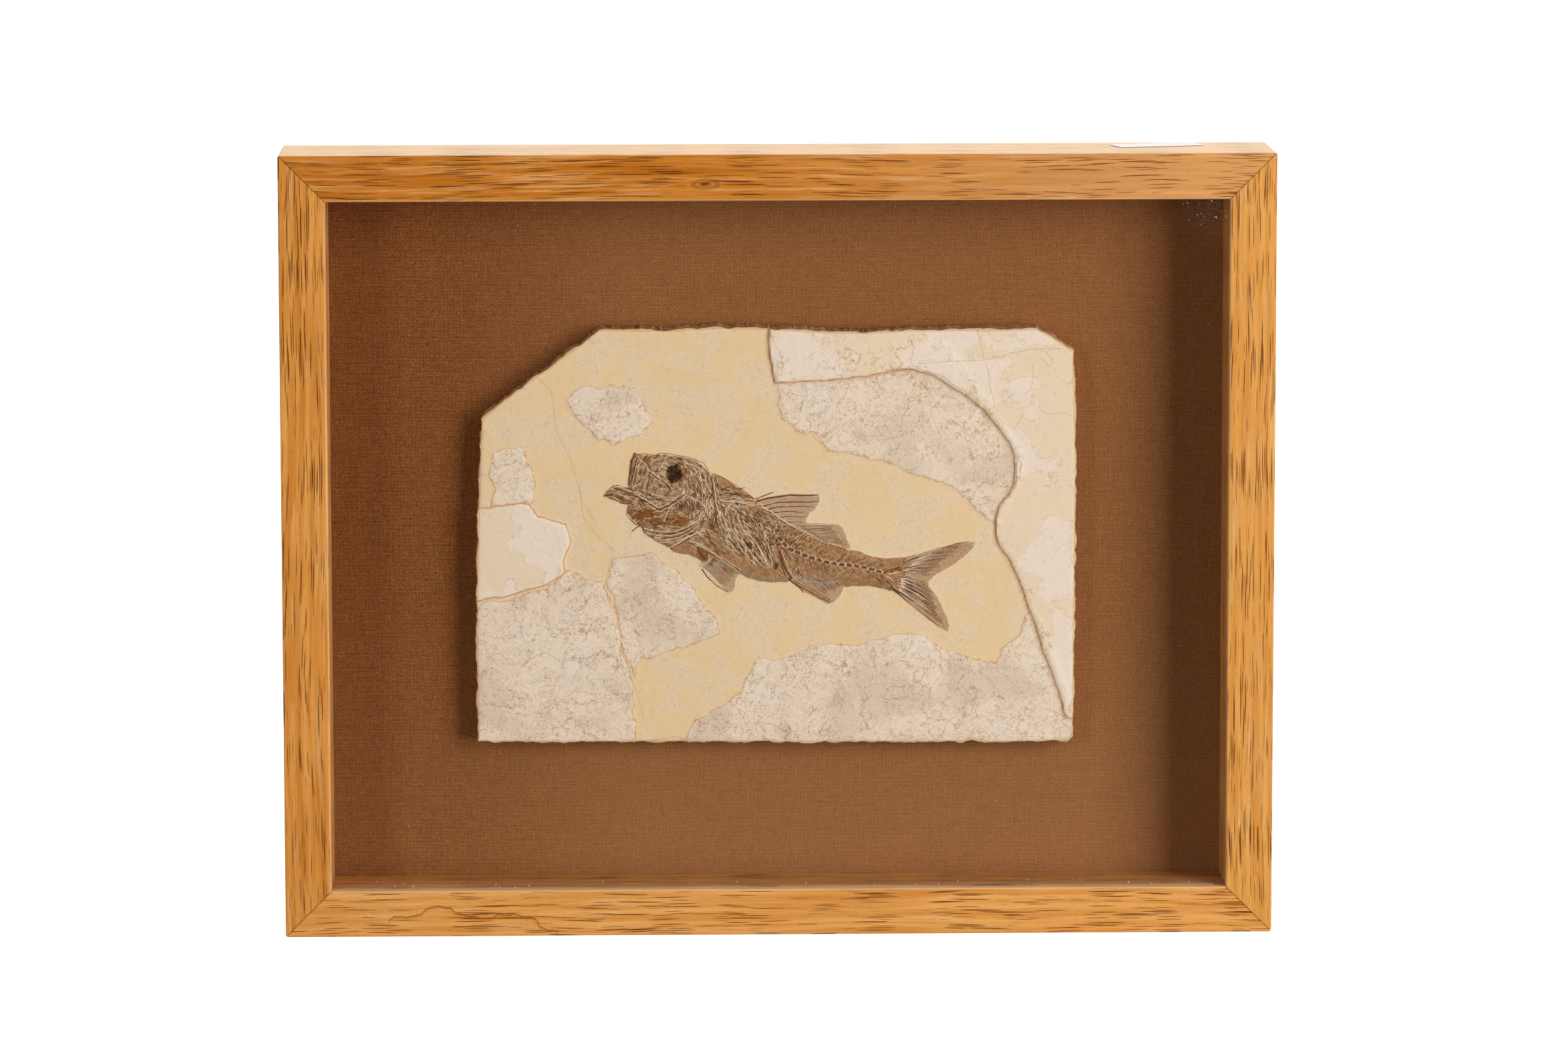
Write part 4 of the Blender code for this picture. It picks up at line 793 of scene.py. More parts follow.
tracedBones = [                      # points in millimetres, half width at the start and the end, kind
    ([(82.4, 151.4), (80.5, 147.3), (79.7, 141.5), (79.0, 135.1)], 0.55, 0.35, "rust"),
    ([(81.4, 151.1), (79.8, 146.7), (79.1, 141.5), (78.5, 135.1)], 0.12, 0.1, "cream"),
    ([(83.4, 149.3), (81.9, 143.8), (80.4, 136.3)], 0.3, 0.2, "dark"),
    ([(84.0, 149.9), (82.4, 143.8), (80.9, 136.0)], 0.14, 0.1, "cream"),
    ([(83.1, 150.8), (87.7, 151.0), (92.3, 150.1), (94.6, 151.0), (99.2, 151.0), (103.8, 150.1),
      (109.5, 149.2), (113.5, 148.0), (117.5, 145.9), (119.8, 142.5)], 0.13, 0.11, "spine"),
    ([(84.3, 148.4), (86.6, 146.7), (88.9, 143.2), (88.3, 138.5), (86.6, 135.1)], 0.16, 0.1, "cream"),
    ([(85.7, 148.7), (88.3, 146.7), (90.3, 143.2), (89.5, 138.5), (88.3, 134.5)], 0.16, 0.1, "dark"),
    ([(88.3, 143.2), (91.7, 141.1), (95.7, 138.2), (99.8, 135.0), (102.0, 131.5)], 0.2, 0.12, "cream"),
    ([(87.7, 142.3), (91.2, 140.2), (95.2, 137.2), (99.2, 134.1), (101.2, 131.2)], 0.16, 0.1, "dark"),
    ([(84.3, 129.0), (88.9, 126.6), (93.4, 123.7), (94.9, 123.1), (99.2, 125.4), (103.2, 128.3),
      (106.9, 131.2), (107.5, 132.1)], 0.26, 0.18, "cream"),
    ([(84.8, 127.5), (88.9, 125.5), (93.4, 122.5), (95.2, 122.1), (99.8, 124.4), (103.8, 127.3),
      (107.8, 130.2)], 0.22, 0.16, "dark"),
    ([(86.6, 125.8), (91.2, 122.8), (94.6, 121.1), (99.8, 123.4), (104.3, 126.3),
      (108.1, 129.1)], 0.18, 0.12, "cream"),
    ([(107.5, 133.2), (106.3, 130.9), (109.5, 128.9), (112.9, 127.7), (116.4, 125.6), (118.4, 122.7),
      (118.1, 119.8)], 0.2, 0.14, "cream"),
    ([(97.2, 116.4), (98.3, 119.9), (99.8, 122.8), (102.0, 125.1)], 0.22, 0.12, "cream"),
    ([(98.0, 116.1), (99.2, 119.6), (100.6, 122.5)], 0.16, 0.1, "dark"),
    ([(86.6, 112.4), (91.2, 111.2), (96.9, 110.5), (102.6, 110.7), (108.4, 112.9), (113.5, 115.8),
      (117.5, 119.2)], 0.24, 0.16, "cream"),
    ([(86.6, 111.4), (91.2, 110.2), (96.9, 109.6), (102.9, 109.9), (108.9, 112.0), (114.1, 114.9),
      (118.1, 118.3)], 0.2, 0.14, "dark"),
    ([(88.9, 109.5), (94.6, 108.5), (100.3, 108.6), (106.1, 110.1), (111.8, 113.0),
      (116.7, 117.2)], 0.2, 0.14, "cream"),
    ([(90.0, 108.0), (95.7, 107.2), (101.5, 107.6), (106.9, 109.1), (112.4, 112.0),
      (116.9, 116.0)], 0.18, 0.12, "dark"),
    ([(91.7, 106.9), (98.0, 106.2), (103.8, 107.4), (109.5, 109.9), (114.9, 114.0)], 0.2, 0.12, "cream"),
    ([(86.0, 113.3), (86.6, 110.1), (88.9, 108.3), (93.4, 105.4), (98.0, 103.3),
      (101.5, 101.9)], 0.19, 0.16, "spine"),
    ([(94.6, 105.3), (99.8, 104.7), (105.5, 106.5), (111.8, 109.1), (114.7, 111.1)], 0.16, 0.12, "cream"),
    ([(99.8, 102.3), (104.3, 104.6), (109.5, 107.9), (114.1, 110.1), (118.1, 111.4)], 0.3, 0.22, "cream"),
    ([(100.3, 101.8), (104.9, 103.9), (110.1, 107.2), (114.7, 109.4)], 0.2, 0.16, "dark"),
    ([(98.6, 103.3), (103.2, 105.6), (108.4, 108.7), (112.9, 110.8)], 0.18, 0.14, "dark"),
    ([(120.4, 141.3), (122.7, 136.0), (123.4, 130.2), (123.9, 124.4), (125.3, 119.8),
      (126.1, 116.3)], 0.24, 0.2, "cream"),
    ([(119.7, 141.0), (121.9, 135.8), (122.6, 129.9), (123.1, 124.1), (124.4, 119.5)], 0.16, 0.14, "dark"),
    ([(119.2, 127.9), (118.7, 123.3), (119.2, 119.8), (121.0, 117.5)], 0.26, 0.16, "cream"),
    ([(121.2, 127.9), (120.4, 123.3), (121.2, 119.2)], 0.2, 0.14, "cream"),
    ([(116.7, 143.0), (118.1, 139.6), (118.7, 135.5), (118.1, 130.3)], 0.2, 0.14, "cream"),
    ([(112.4, 143.1), (115.2, 141.3), (116.7, 137.2), (116.9, 133.2)], 0.16, 0.12, "cream"),
    ([(107.8, 146.0), (111.2, 145.4), (114.7, 143.6), (117.5, 141.3)], 0.16, 0.12, "cream"),
    ([(104.9, 148.0), (107.8, 144.8), (108.9, 140.8), (108.6, 137.3)], 0.18, 0.12, "dark"),
    ([(103.8, 148.9), (108.1, 146.9), (110.1, 143.1), (109.8, 138.4)], 0.16, 0.12, "rust"),
    ([(98.0, 148.1), (102.6, 148.6), (106.1, 147.5)], 0.18, 0.12, "rust"),
    ([(96.9, 146.6), (94.6, 143.2), (94.0, 139.1), (96.3, 135.6)], 0.14, 0.1, "cream"),
    ([(126.1, 132.3), (130.1, 131.9), (134.7, 132.5), (138.7, 133.1)], 0.16, 0.12, "dark"),
    ([(125.5, 130.2), (130.7, 130.2), (135.9, 129.6), (140.5, 128.7)], 0.18, 0.14, "dark"),
    ([(126.4, 127.2), (130.7, 127.9), (135.9, 128.0), (143.9, 126.6)], 0.16, 0.14, "cream"),
    ([(125.0, 125.6), (130.1, 126.1), (137.0, 125.5), (143.9, 125.2)], 0.16, 0.12, "cream"),
    ([(128.4, 118.6), (129.0, 122.7), (131.3, 124.4), (137.0, 123.5), (143.9, 123.9)], 0.2, 0.14, "cream"),
    ([(114.7, 109.9), (116.4, 114.0), (117.2, 117.5), (116.7, 120.4)], 0.16, 0.12, "rust"),
    ([(115.2, 110.5), (117.5, 112.3), (120.4, 111.1), (121.0, 108.2)], 0.2, 0.14, "cream"),
    ([(109.8, 105.9), (114.1, 104.7), (119.2, 101.8), (123.3, 98.9), (128.4, 95.9),
      (137.0, 90.1)], 0.22, 0.14, "cream"),
    ([(108.9, 104.7), (113.5, 103.6), (118.7, 100.6), (123.3, 97.7), (129.0, 94.2),
      (135.3, 89.8)], 0.16, 0.12, "dark"),
    ([(78.0, 119.7), (80.5, 116.8), (82.8, 114.7)], 0.26, 0.16, "cream"),
    ([(78.4, 118.7), (80.9, 115.8), (82.7, 113.9)], 0.14, 0.1, "dark"),
    ([(80.3, 110.6), (83.1, 112.9), (86.6, 114.4)], 0.3, 0.26, "grey"),
    ([(65.9, 129.1), (69.7, 130.0), (73.7, 128.2), (79.1, 125.9)], 0.34, 0.3, "rust"),
    ([(66.5, 129.9), (69.9, 131.7), (74.5, 129.9), (79.7, 127.5), (83.1, 125.8)], 0.18, 0.14, "cream"),
    ([(68.2, 132.1), (73.4, 132.7), (79.1, 129.9), (84.3, 128.1), (86.6, 126.4)], 0.26, 0.18, "dark"),
    ([(67.9, 131.7), (71.1, 133.9), (74.5, 134.1), (79.7, 131.6), (84.8, 129.6)], 0.2, 0.14, "cream"),
    ([(66.2, 129.5), (68.2, 131.7), (70.8, 134.4), (73.4, 134.6), (76.8, 133.4)], 0.22, 0.14, "dark"),
    ([(74.0, 125.8), (76.8, 125.1), (79.4, 125.3)], 0.3, 0.26, "rust"),
    ([(76.2, 133.4), (79.1, 132.8), (82.0, 133.3)], 0.3, 0.2, "rust"),
    ([(80.8, 133.4), (83.1, 135.1), (84.8, 136.2)], 0.26, 0.16, "cream"),
    ([(84.8, 127.5), (86.3, 125.8), (85.7, 124.6), (84.0, 125.5), (84.8, 127.4)], 0.14, 0.14, "dark"),
    ([(145.0, 125.9), (149.6, 127.3), (154.2, 128.0), (161.7, 129.1), (167.4, 128.9), (172.6, 129.0),
      (176.7, 129.2)], 0.5, 0.3, "spine"),
    ([(145.9, 126.8), (149.6, 128.1), (154.2, 128.7), (161.7, 129.8), (167.4, 129.5),
      (176.6, 129.5)], 0.1, 0.1, "cream"),
    ([(147.9, 123.3), (153.1, 125.1), (158.8, 125.4), (167.4, 125.6), (173.1, 125.5),
      (176.7, 125.9)], 0.32, 0.18, "spine"),
    ([(149.6, 121.5), (155.4, 122.9), (161.7, 123.1), (167.4, 123.2), (173.7, 123.0)], 0.28, 0.15, "spine"),
    ([(152.5, 119.7), (157.7, 120.5), (162.8, 120.7), (167.4, 120.1), (171.5, 119.4)], 0.24, 0.13, "spine"),
    ([(155.4, 117.3), (161.7, 118.1), (167.4, 117.6), (170.3, 117.2)], 0.2, 0.12, "spine"),
    ([(158.8, 114.6), (163.4, 115.2), (168.0, 114.6), (169.4, 114.3)], 0.16, 0.1, "spine"),
    ([(144.2, 127.3), (148.5, 128.8), (153.1, 130.5)], 0.26, 0.16, "dark"),
    ([(145.0, 127.7), (148.5, 129.4), (152.8, 130.8), (153.9, 131.1)], 0.14, 0.1, "cream"),
    ([(146.2, 124.3), (149.6, 124.5), (154.2, 125.4)], 0.2, 0.14, "cream"),
    ([(147.3, 123.1), (151.9, 120.8), (156.5, 117.3), (161.7, 113.8), (164.5, 112.6)], 0.3, 0.24, "cream"),
    ([(147.9, 122.0), (152.5, 119.5), (157.1, 115.8), (161.7, 112.3), (166.8, 109.1)], 0.21, 0.16, "spine"),
    ([(123.3, 140.1), (127.8, 138.3), (132.4, 135.4), (137.6, 131.9), (143.3, 127.5)], 0.19, 0.16, "spine"),
    ([(126.7, 132.5), (130.7, 133.4), (134.7, 132.5), (137.6, 131.9)], 0.16, 0.12, "dark"),
    ([(126.1, 127.9), (131.9, 127.6), (137.6, 127.3), (143.3, 126.4)], 0.2, 0.16, "dark"),
    ([(125.6, 126.7), (131.9, 126.4), (137.6, 126.0), (143.9, 125.2)], 0.16, 0.12, "cream"),
    ([(130.1, 121.5), (130.7, 125.0), (133.6, 126.4), (139.9, 124.6), (146.2, 124.3)], 0.2, 0.14, "cream"),
    ([(125.8, 120.9), (127.8, 117.4), (129.0, 112.8), (130.7, 108.7), (133.0, 104.6)], 0.2, 0.16, "cream"),
    ([(130.1, 118.6), (131.3, 113.9), (133.6, 109.3), (137.0, 104.6), (139.9, 99.9)], 0.2, 0.16, "cream"),
    ([(130.7, 117.4), (132.1, 112.8), (134.4, 108.1), (137.9, 103.4)], 0.2, 0.14, "dark"),
    ([(135.3, 119.1), (135.9, 115.1), (138.2, 110.4), (141.6, 105.7), (145.0, 101.1)], 0.18, 0.14, "cream"),
    ([(137.6, 111.6), (141.6, 108.1), (145.0, 103.4), (148.5, 97.0), (150.2, 92.9)], 0.18, 0.12, "cream"),
    ([(137.0, 105.8), (140.5, 101.1), (143.9, 96.4), (147.3, 92.3)], 0.22, 0.14, "cream"),
    ([(137.9, 106.3), (141.6, 101.7), (145.0, 97.0), (148.8, 92.3)], 0.22, 0.14, "dark"),
    ([(134.7, 104.6), (137.6, 100.0), (141.6, 95.3), (145.0, 92.4)], 0.2, 0.12, "cream"),
    ([(141.6, 104.6), (145.0, 100.5), (147.9, 95.8), (149.9, 92.3)], 0.2, 0.12, "dark"),
    ([(145.0, 103.4), (147.3, 99.9), (149.6, 95.2), (151.1, 92.3)], 0.2, 0.12, "cream"),
    ([(147.3, 104.5), (149.6, 100.5), (151.1, 96.4), (151.9, 92.9)], 0.2, 0.12, "dark"),
    ([(150.2, 104.5), (151.4, 100.5), (152.2, 97.0), (152.5, 94.1)], 0.18, 0.12, "cream"),
    ([(132.7, 104.6), (135.9, 100.5), (138.7, 96.5)], 0.22, 0.14, "dark"),
    ([(156.5, 100.4), (157.9, 95.2), (160.0, 90.0), (162.8, 85.6)], 0.42, 0.5, "rust"),
    ([(157.5, 101.0), (159.1, 95.8), (161.2, 90.5), (164.0, 86.5)], 0.14, 0.12, "cream"),
    ([(155.5, 99.9), (156.9, 94.6), (158.8, 88.8), (161.7, 84.7)], 0.16, 0.16, "dark"),
    ([(161.1, 85.9), (163.4, 83.6), (166.8, 81.2), (168.8, 78.3)], 0.24, 0.16, "dark"),
    ([(163.7, 83.8), (167.4, 81.3), (174.9, 77.4), (182.6, 73.1)], 0.5, 0.34, "amber"),
    ([(163.4, 85.0), (168.0, 82.4), (175.4, 78.6), (183.2, 74.2)], 0.14, 0.12, "dark"),
    ([(162.2, 84.7), (167.4, 80.3), (174.3, 76.5), (181.7, 72.5)], 0.14, 0.12, "dark"),
    ([(114.1, 102.4), (116.4, 98.3), (118.7, 95.4)], 0.5, 0.4, "rust"),
    ([(114.9, 94.0), (117.2, 92.2), (119.2, 93.9), (121.5, 96.5)], 0.3, 0.2, "cream"),
    ([(115.2, 92.5), (117.5, 94.0), (120.1, 96.0), (119.8, 98.6)], 0.24, 0.18, "cream"),
    ([(116.4, 90.8), (119.2, 86.7), (124.4, 82.0), (130.1, 78.6)], 0.32, 0.16, "rust"),
    ([(117.2, 91.6), (120.1, 87.8), (125.0, 83.2), (130.7, 79.7)], 0.18, 0.1, "cream"),
    ([(123.8, 98.9), (129.0, 95.3), (133.6, 91.8), (137.3, 89.2)], 0.2, 0.14, "dark"),
    ([(123.5, 98.2), (128.4, 94.5), (133.0, 91.3), (135.9, 89.2)], 0.16, 0.12, "cream"),
    ([(112.9, 103.9), (116.4, 102.4), (120.4, 100.0), (124.4, 98.3)], 0.22, 0.16, "cream"),
    ([(120.4, 109.3), (120.4, 105.8), (123.3, 102.3), (124.7, 99.4)], 0.2, 0.12, "dark"),
    ([(160.8, 97.5), (162.0, 95.2), (161.7, 92.3)], 0.12, 0.1, "dark"),
    ([(165.7, 96.9), (166.3, 92.8), (166.0, 88.8)], 0.12, 0.1, "dark"),
    ([(210.4, 88.6), (213.3, 90.3), (217.9, 91.4), (219.6, 90.8)], 0.2, 0.14, "dark"),
    ([(213.8, 89.1), (216.7, 90.6), (218.7, 90.0)], 0.5, 0.4, "rust"),
    ([(212.1, 88.0), (215.6, 88.5), (219.0, 89.1)], 0.2, 0.14, "cream"),
    ([(206.4, 86.2), (209.3, 83.3), (213.3, 79.2)], 0.22, 0.16, "dark"),
    ([(209.5, 86.7), (211.8, 84.5), (214.3, 82.1)], 0.34, 0.24, "rust"),
    ([(211.0, 87.1), (213.8, 85.6), (215.6, 83.9)], 0.2, 0.2, "cream"),
    ([(210.1, 85.9), (212.7, 83.6), (213.8, 82.1)], 0.14, 0.1, "cream"),
    ([(217.3, 91.4), (223.0, 94.3), (229.9, 97.2), (239.6, 100.6), (247.7, 103.5),
      (254.0, 104.5)], 0.2, 0.12, "dark"),
    ([(213.8, 81.9), (219.6, 76.0), (226.5, 69.9), (234.5, 64.0), (239.1, 59.9)], 0.24, 0.12, "dark"),
]

cracks = [                           # points in millimetres, half width
    ([(151.9, 213.1), (154.6, 206.5), (157.2, 202.1), (158.5, 196.7), (157.2, 191.3)], 0.16),
    ([(228.2, 196.9), (236.8, 197.9), (245.4, 198.4), (254.0, 198.6), (262.6, 198.9), (269.1, 200.5),
      (277.7, 202.9), (286.2, 204.4), (294.9, 204.7), (301.3, 204.7)], 0.13),
    ([(258.3, 214.7), (259.9, 208.2), (261.5, 200.5), (263.7, 194.0), (264.8, 186.4), (266.9, 177.6),
      (269.1, 172.2)], 0.15),
    ([(187.4, 210.2), (185.7, 205.3), (187.4, 202.0)], 0.1),
    ([(223.9, 210.0), (225.4, 205.1), (224.3, 197.5)], 0.1),
    ([(277.7, 212.4), (279.8, 209.2), (283.6, 208.1), (280.9, 206.4)], 0.1),
    ([(290.6, 203.7), (294.9, 202.6), (297.5, 197.1), (295.9, 194.9), (291.6, 200.4)], 0.09),
    ([(286.2, 197.1), (287.3, 190.6), (286.2, 184.1), (282.5, 180.8)], 0.1),
    ([(301.3, 188.4), (306.1, 186.1), (307.8, 190.5)], 0.1),
    ([(290.6, 173.1), (294.9, 170.9), (301.3, 171.5), (307.8, 169.8)], 0.12),
    ([(282.5, 172.1), (279.8, 166.7), (276.6, 162.3)], 0.1),
    ([(251.3, 165.7), (252.4, 158.1), (255.6, 151.5), (256.7, 143.9), (259.4, 137.3)], 0.1),
    ([(225.0, 186.6), (230.4, 184.3), (236.8, 182.7), (240.6, 185.4), (236.8, 189.8)], 0.08),
    ([(211.0, 193.7), (219.6, 194.8), (226.1, 195.8), (234.7, 193.0), (242.2, 189.7), (245.4, 186.5),
      (254.0, 182.0), (260.4, 177.7), (266.9, 170.0), (270.1, 165.6)], 0.1),
    ([(279.3, 149.2), (281.4, 144.9), (280.3, 140.5), (280.9, 136.1)], 0.12),
    ([(164.8, 162.3), (172.3, 163.1), (175.0, 158.5), (179.6, 154.1), (179.0, 151.4), (187.4, 152.1),
      (197.0, 151.3)], 0.1),
    ([(64.8, 85.4), (67.5, 77.7), (71.2, 71.2), (73.4, 62.5), (75.0, 51.6), (77.2, 42.8), (79.3, 36.3),
      (81.5, 29.7)], 0.15),
    ([(66.4, 81.0), (70.2, 66.8), (71.8, 59.2), (73.9, 47.2), (75.0, 39.6), (77.7, 31.9),
      (80.9, 26.5)], 0.1),
    ([(81.5, 29.7), (78.2, 22.1), (77.7, 16.7)], 0.08),
    ([(81.5, 29.7), (84.2, 21.0), (86.3, 12.3)], 0.08),
    ([(22.9, 39.8), (27.2, 44.2), (35.8, 47.9), (44.9, 41.9), (46.5, 43.5), (56.2, 44.6), (62.7, 45.6),
      (69.1, 46.7), (71.2, 52.7)], 0.1),
    ([(26.1, 31.6), (32.5, 32.2), (39.0, 34.3), (43.3, 32.1), (41.7, 25.6), (37.9, 20.1),
      (36.3, 15.8)], 0.1),
    ([(7.8, 69.3), (17.5, 71.5), (27.2, 70.9), (22.9, 68.2), (19.1, 66.0), (23.9, 62.7)], 0.08),
    ([(6.8, 56.3), (12.1, 55.1), (19.6, 55.6), (21.8, 59.4)], 0.1),
    ([(35.2, 80.1), (39.0, 76.8), (41.1, 73.5)], 0.1),
    ([(79.8, 71.1), (84.2, 73.3), (89.5, 79.8), (93.8, 82.0), (99.2, 78.7), (102.4, 75.4)], 0.08),
    ([(135.8, 16.4), (139.0, 9.8), (141.1, 6.5), (143.3, 3.3)], 0.12),
    ([(149.7, 13.0), (155.1, 15.2), (157.2, 21.7)], 0.1),
    ([(107.8, 1.3), (103.5, 3.5), (94.9, 2.4), (90.6, 1.3)], 0.12),
    ([(31.9, 190.8), (38.1, 184.5), (40.4, 179.7), (41.2, 163.9), (47.4, 151.3), (52.1, 138.6),
      (55.2, 125.9), (63.0, 113.3)], 0.09),
    ([(53.3, 132.7), (55.7, 116.9), (63.5, 107.4), (71.3, 101.0), (67.4, 88.4), (65.8, 80.5)], 0.1),
]


def flowAt(places):                                            # the angle of the bones round each place
    spots = np.array(boneLook["flow"], float)
    gaps = ((places[:, None, :] - spots[None, :, :2]) ** 2).sum(2)
    weight = 1 / (gaps + 5) ** 2
    turn = np.radians(spots[:, 2]) * 2
    return 0.5 * np.arctan2((weight * np.sin(turn)).sum(1), (weight * np.cos(turn)).sum(1))


def towards(angle, length):
    return np.column_stack([np.cos(angle), np.sin(angle)]) * np.reshape(length, (-1, 1))


def looseBones(look):                                          # short strokes that follow the flow
    chance = np.random.default_rng(3)
    lines = []
    for middle, across, up, count, length, creamShare in look["strokes"]:
        places = np.array(middle) + chance.uniform(-1, 1, (count * 3, 2)) * (across, up)
        inside = ((places - middle) ** 2 / np.array((across, up)) ** 2).sum(1) < 1
        body, jaw = (insideDistance(places, fishShapes[name]) for name in ("body", "jaw"))
        inside &= np.maximum(body, jaw) > 0.5
        inside &= np.hypot(*(places - look["eyeAt"]).T) > look["eyeRadius"]
        places = places[inside][:count]
        tilt = chance.normal(0, 0.24, len(places))
        reach = chance.uniform(0.35, 1.5, len(places)) * length / 2
        paths = [places]
        for way in (-1, 1):                                    # follows the flow both ways from its middle
            step = places
            for _ in range(2):
                turn = flowAt(step) + tilt + chance.normal(0, 0.22, len(places))
                step = step + towards(turn, way * reach / 2)
                paths.append(step)
        for i in range(len(places)):
            points = [paths[k][i] for k in (2, 1, 0, 3, 4)]
            if np.hypot(*(points[3] - points[1])) < reach[i] * 0.7:
                points = points[:3]                            # the flow turned back on itself
            width = 0.08 + 0.17 * chance.random() ** 2
            if chance.random() < creamShare:
                kind = "cream" if chance.random() < 0.72 else "tan"
                lines.append((points, width * 1.1, width * 0.6, kind))
                # painted shadow: a dark stroke laid beside most cream strokes
                side = towards(np.array([flowAt(places[i:i + 1])[0] - math.pi / 2]), width * 1.9)[0]
                if chance.random() < 0.6:
                    lines.append(([p + side for p in points[:3]], width * 0.8, width * 0.5, "dark"))
            else:
                lines.append((points, width, width * 0.6, "rust" if chance.random() < 0.22 else "dark"))
    return lines


def finRays(look):
    chance = np.random.default_rng(4)
    lines = []
    for rootA, rootB, tipA, tipB, count, width, shortest in look["rays"].values():
        crowd = count * 2 * width / np.hypot(*np.subtract(rootA, rootB))       # a tight root thins the rays
        for share in np.linspace(0, 1, count):
            root = np.array(rootA) * (1 - share) + np.array(rootB) * share
            tip = np.array(tipA) * (1 - share) + np.array(tipB) * share
            run = tip - root
            side = np.array((-run[1], run[0])) / np.hypot(*run)
            bow = side * np.hypot(*run) * chance.normal(0.015, 0.006)
            tip = root + run * chance.uniform(shortest, 0.97)
            foot = root + run * chance.uniform(0.0, 0.15 * max(crowd, 0.6))
            middle = (foot + tip) / 2 + bow
            kind = "spine" if chance.random() < min(0.5 * max(crowd, 1.0), 0.85) else "dark"
            lines.append(([foot, middle], width * 0.6 / max(crowd, 1.0), width * 0.85, kind))
            lines.append(([middle, tip], width * 0.85, width * 0.5, kind))
            end = root + run * chance.uniform(shortest * 0.5, shortest)
            offset = side * width * 2.1                        # a cream line beside each dark one
            near = root + run * chance.uniform(0.08, 0.22) * max(crowd * 0.7, 1.0)
            points = [near + offset, (near + end) / 2 + bow * 0.6 + offset, end + offset]
            lines.append((points, width * 0.95, width * 0.5, "cream"))
    return lines


def backBones(look):                                           # vertebrae, and the spines beside them
    chance = np.random.default_rng(5)
    lines = []
    for i in range(15):
        share = 0.02 + 0.95 * i / 14
        start, middle, end = alongLine(spine, np.array([share - 0.022, share, share + 0.023]))
        size = 1.0 - 0.022 * i
        run = (end - start) / np.hypot(*(end - start))
        side = np.array((-run[1], run[0]))
        lines.append(([start, middle, end], size * chance.uniform(0.85, 1.05), size * 0.8, "vertebra"))
        for gap in (-1.0, 1.0):                                # crossed cream flecks between the dark blocks
            edge = middle + run * (1.55 + chance.normal(0, 0.12))
            tip = edge + run * gap * chance.uniform(0.5, 0.9) + side * size * chance.uniform(0.9, 1.5)
            foot = edge - run * gap * chance.uniform(0.3, 0.7) - side * size * chance.uniform(0.8, 1.4)
            lines.append(([tip, edge + side * chance.normal(0, 0.15), foot], 0.2, 0.14, "cream"))
            rim = middle + side * gap * size * chance.uniform(1.1, 1.5) + run * chance.uniform(-0.9, 0.3)
            far = rim + run * chance.uniform(0.8, 1.5) + side * gap * chance.uniform(0.1, 0.6)
            lines.append(([rim, far], 0.18, 0.1, "cream"))
            lines.append(([rim - side * gap * 0.35, rim + run * 0.9], 0.12, 0.09, "dark"))
        above = (1, 40 - 1.5 * i, 0.7, 1.4, 5.8, 0.2, 0.1, "dark")
        below = (-1, -56 + 1.0 * i, 0.6, 1.2, 6.2, 0.16, 0.09, "dark" if i > 5 else "rust")
        for way, lean, gap, back, longest, width, end, kind in (above, below):
            angle = math.radians(chance.normal(lean, 4))
            foot = middle + side * way * (size + gap) + run * back
            reach = chance.uniform(3.6, longest)
            tip = foot + reach * np.array((math.cos(angle), math.sin(angle)))
            lines.append(([foot, tip], width, end, kind))
    for foot in alongLine(look["dorsalFoot"], np.arange(26) / 25):         # knobs at the dorsal rays' feet
        lines.append(([foot + (-0.5, 0.3), foot + (0.4, -0.3)], 0.26, 0.2, "cream"))
        lines.append(([foot + (-0.3, -0.5), foot + (0.6, -1.0)], 0.2, 0.14, "dark"))
    return lines


def crackLines():                                              # each crack wanders between its points
    chance = np.random.default_rng(6)
    lines = []
    for points, width in cracks:
        steps = int(np.hypot(*np.diff(points, axis=0).T).sum() / 1.3) + 2
        path = alongLine(points, np.linspace(0, 1, steps))
        path += chance.normal(0, 0.22, path.shape)
        lines.append((list(path), width, width * 0.7, "crack"))
    return lines


def makeBones(look):
    pale = [([(across + 0.15, up - 0.5) for across, up in points], 0.15, 0.1, "cream")
            for points, start, end, kind in tracedBones
            if kind == "spine" and len(points) > 2 and points[0][0] > 144]
    lines = crackLines() + backBones(look) + finRays(look) + looseBones(look) + pale + tracedBones
    everyPoint = np.array([spot for line in lines for spot in line[0]], float)
    everyLevel = stoneHeight(everyPoint, stoneFields(everyPoint))
    starts = np.cumsum([0] + [len(line[0]) for line in lines])
    traced = starts[-1 - len(tracedBones)]
    pieces = []
    for kind, tones in toned(look).items():
        curve = bpy.data.curves.new(kind + "Bones", "CURVE")
        curve.dimensions = "3D"
        curve.bevel_depth = mm
        curve.bevel_resolution = 0
        for first, (points, startWidth, endWidth, shade) in zip(starts, lines):
            if shade != kind:
                continue
            thicker = look["tracedShare"] if first >= traced else 1.0
            spline = curve.splines.new("POLY")
            spline.points.add(len(points) - 1)
            for i, (across, up) in enumerate(points):
                radius = (startWidth + (endWidth - startWidth) * i / (len(points) - 1)) * thicker
                level = everyLevel[first + i] + 0.06 + radius * look["sink"].get(kind, look["usualSink"])
                spline.points[i].co = (slabPlace["left"] + across * mm, slabPlace["back"] - level * mm,
                                       slabPlace["bottom"] + up * mm, 1)
                spline.points[i].radius = radius
        piece = bpy.data.objects.new(curve.name, curve)
        bpy.context.collection.objects.link(piece)
        selectOnly(piece)
        bpy.ops.object.convert(target="MESH")
        paint = Paint(kind + "Bone")
        grain = paint.noise(paint.place(), 1.3, 3.0, 0.65)
        colour = paint.mix(grain.ramp(0.38, 0.62), *tones)
        paint.use(Base_Color=colour, Roughness=0.6, Specular_IOR_Level=0.12,
                  Normal=paint.bump(grain, 0.0001, 0.6))
        dress(piece, paint)
        pieces.append(piece)
    print("bones and cracks made:", len(lines))
    return pieces


# the stone's colours

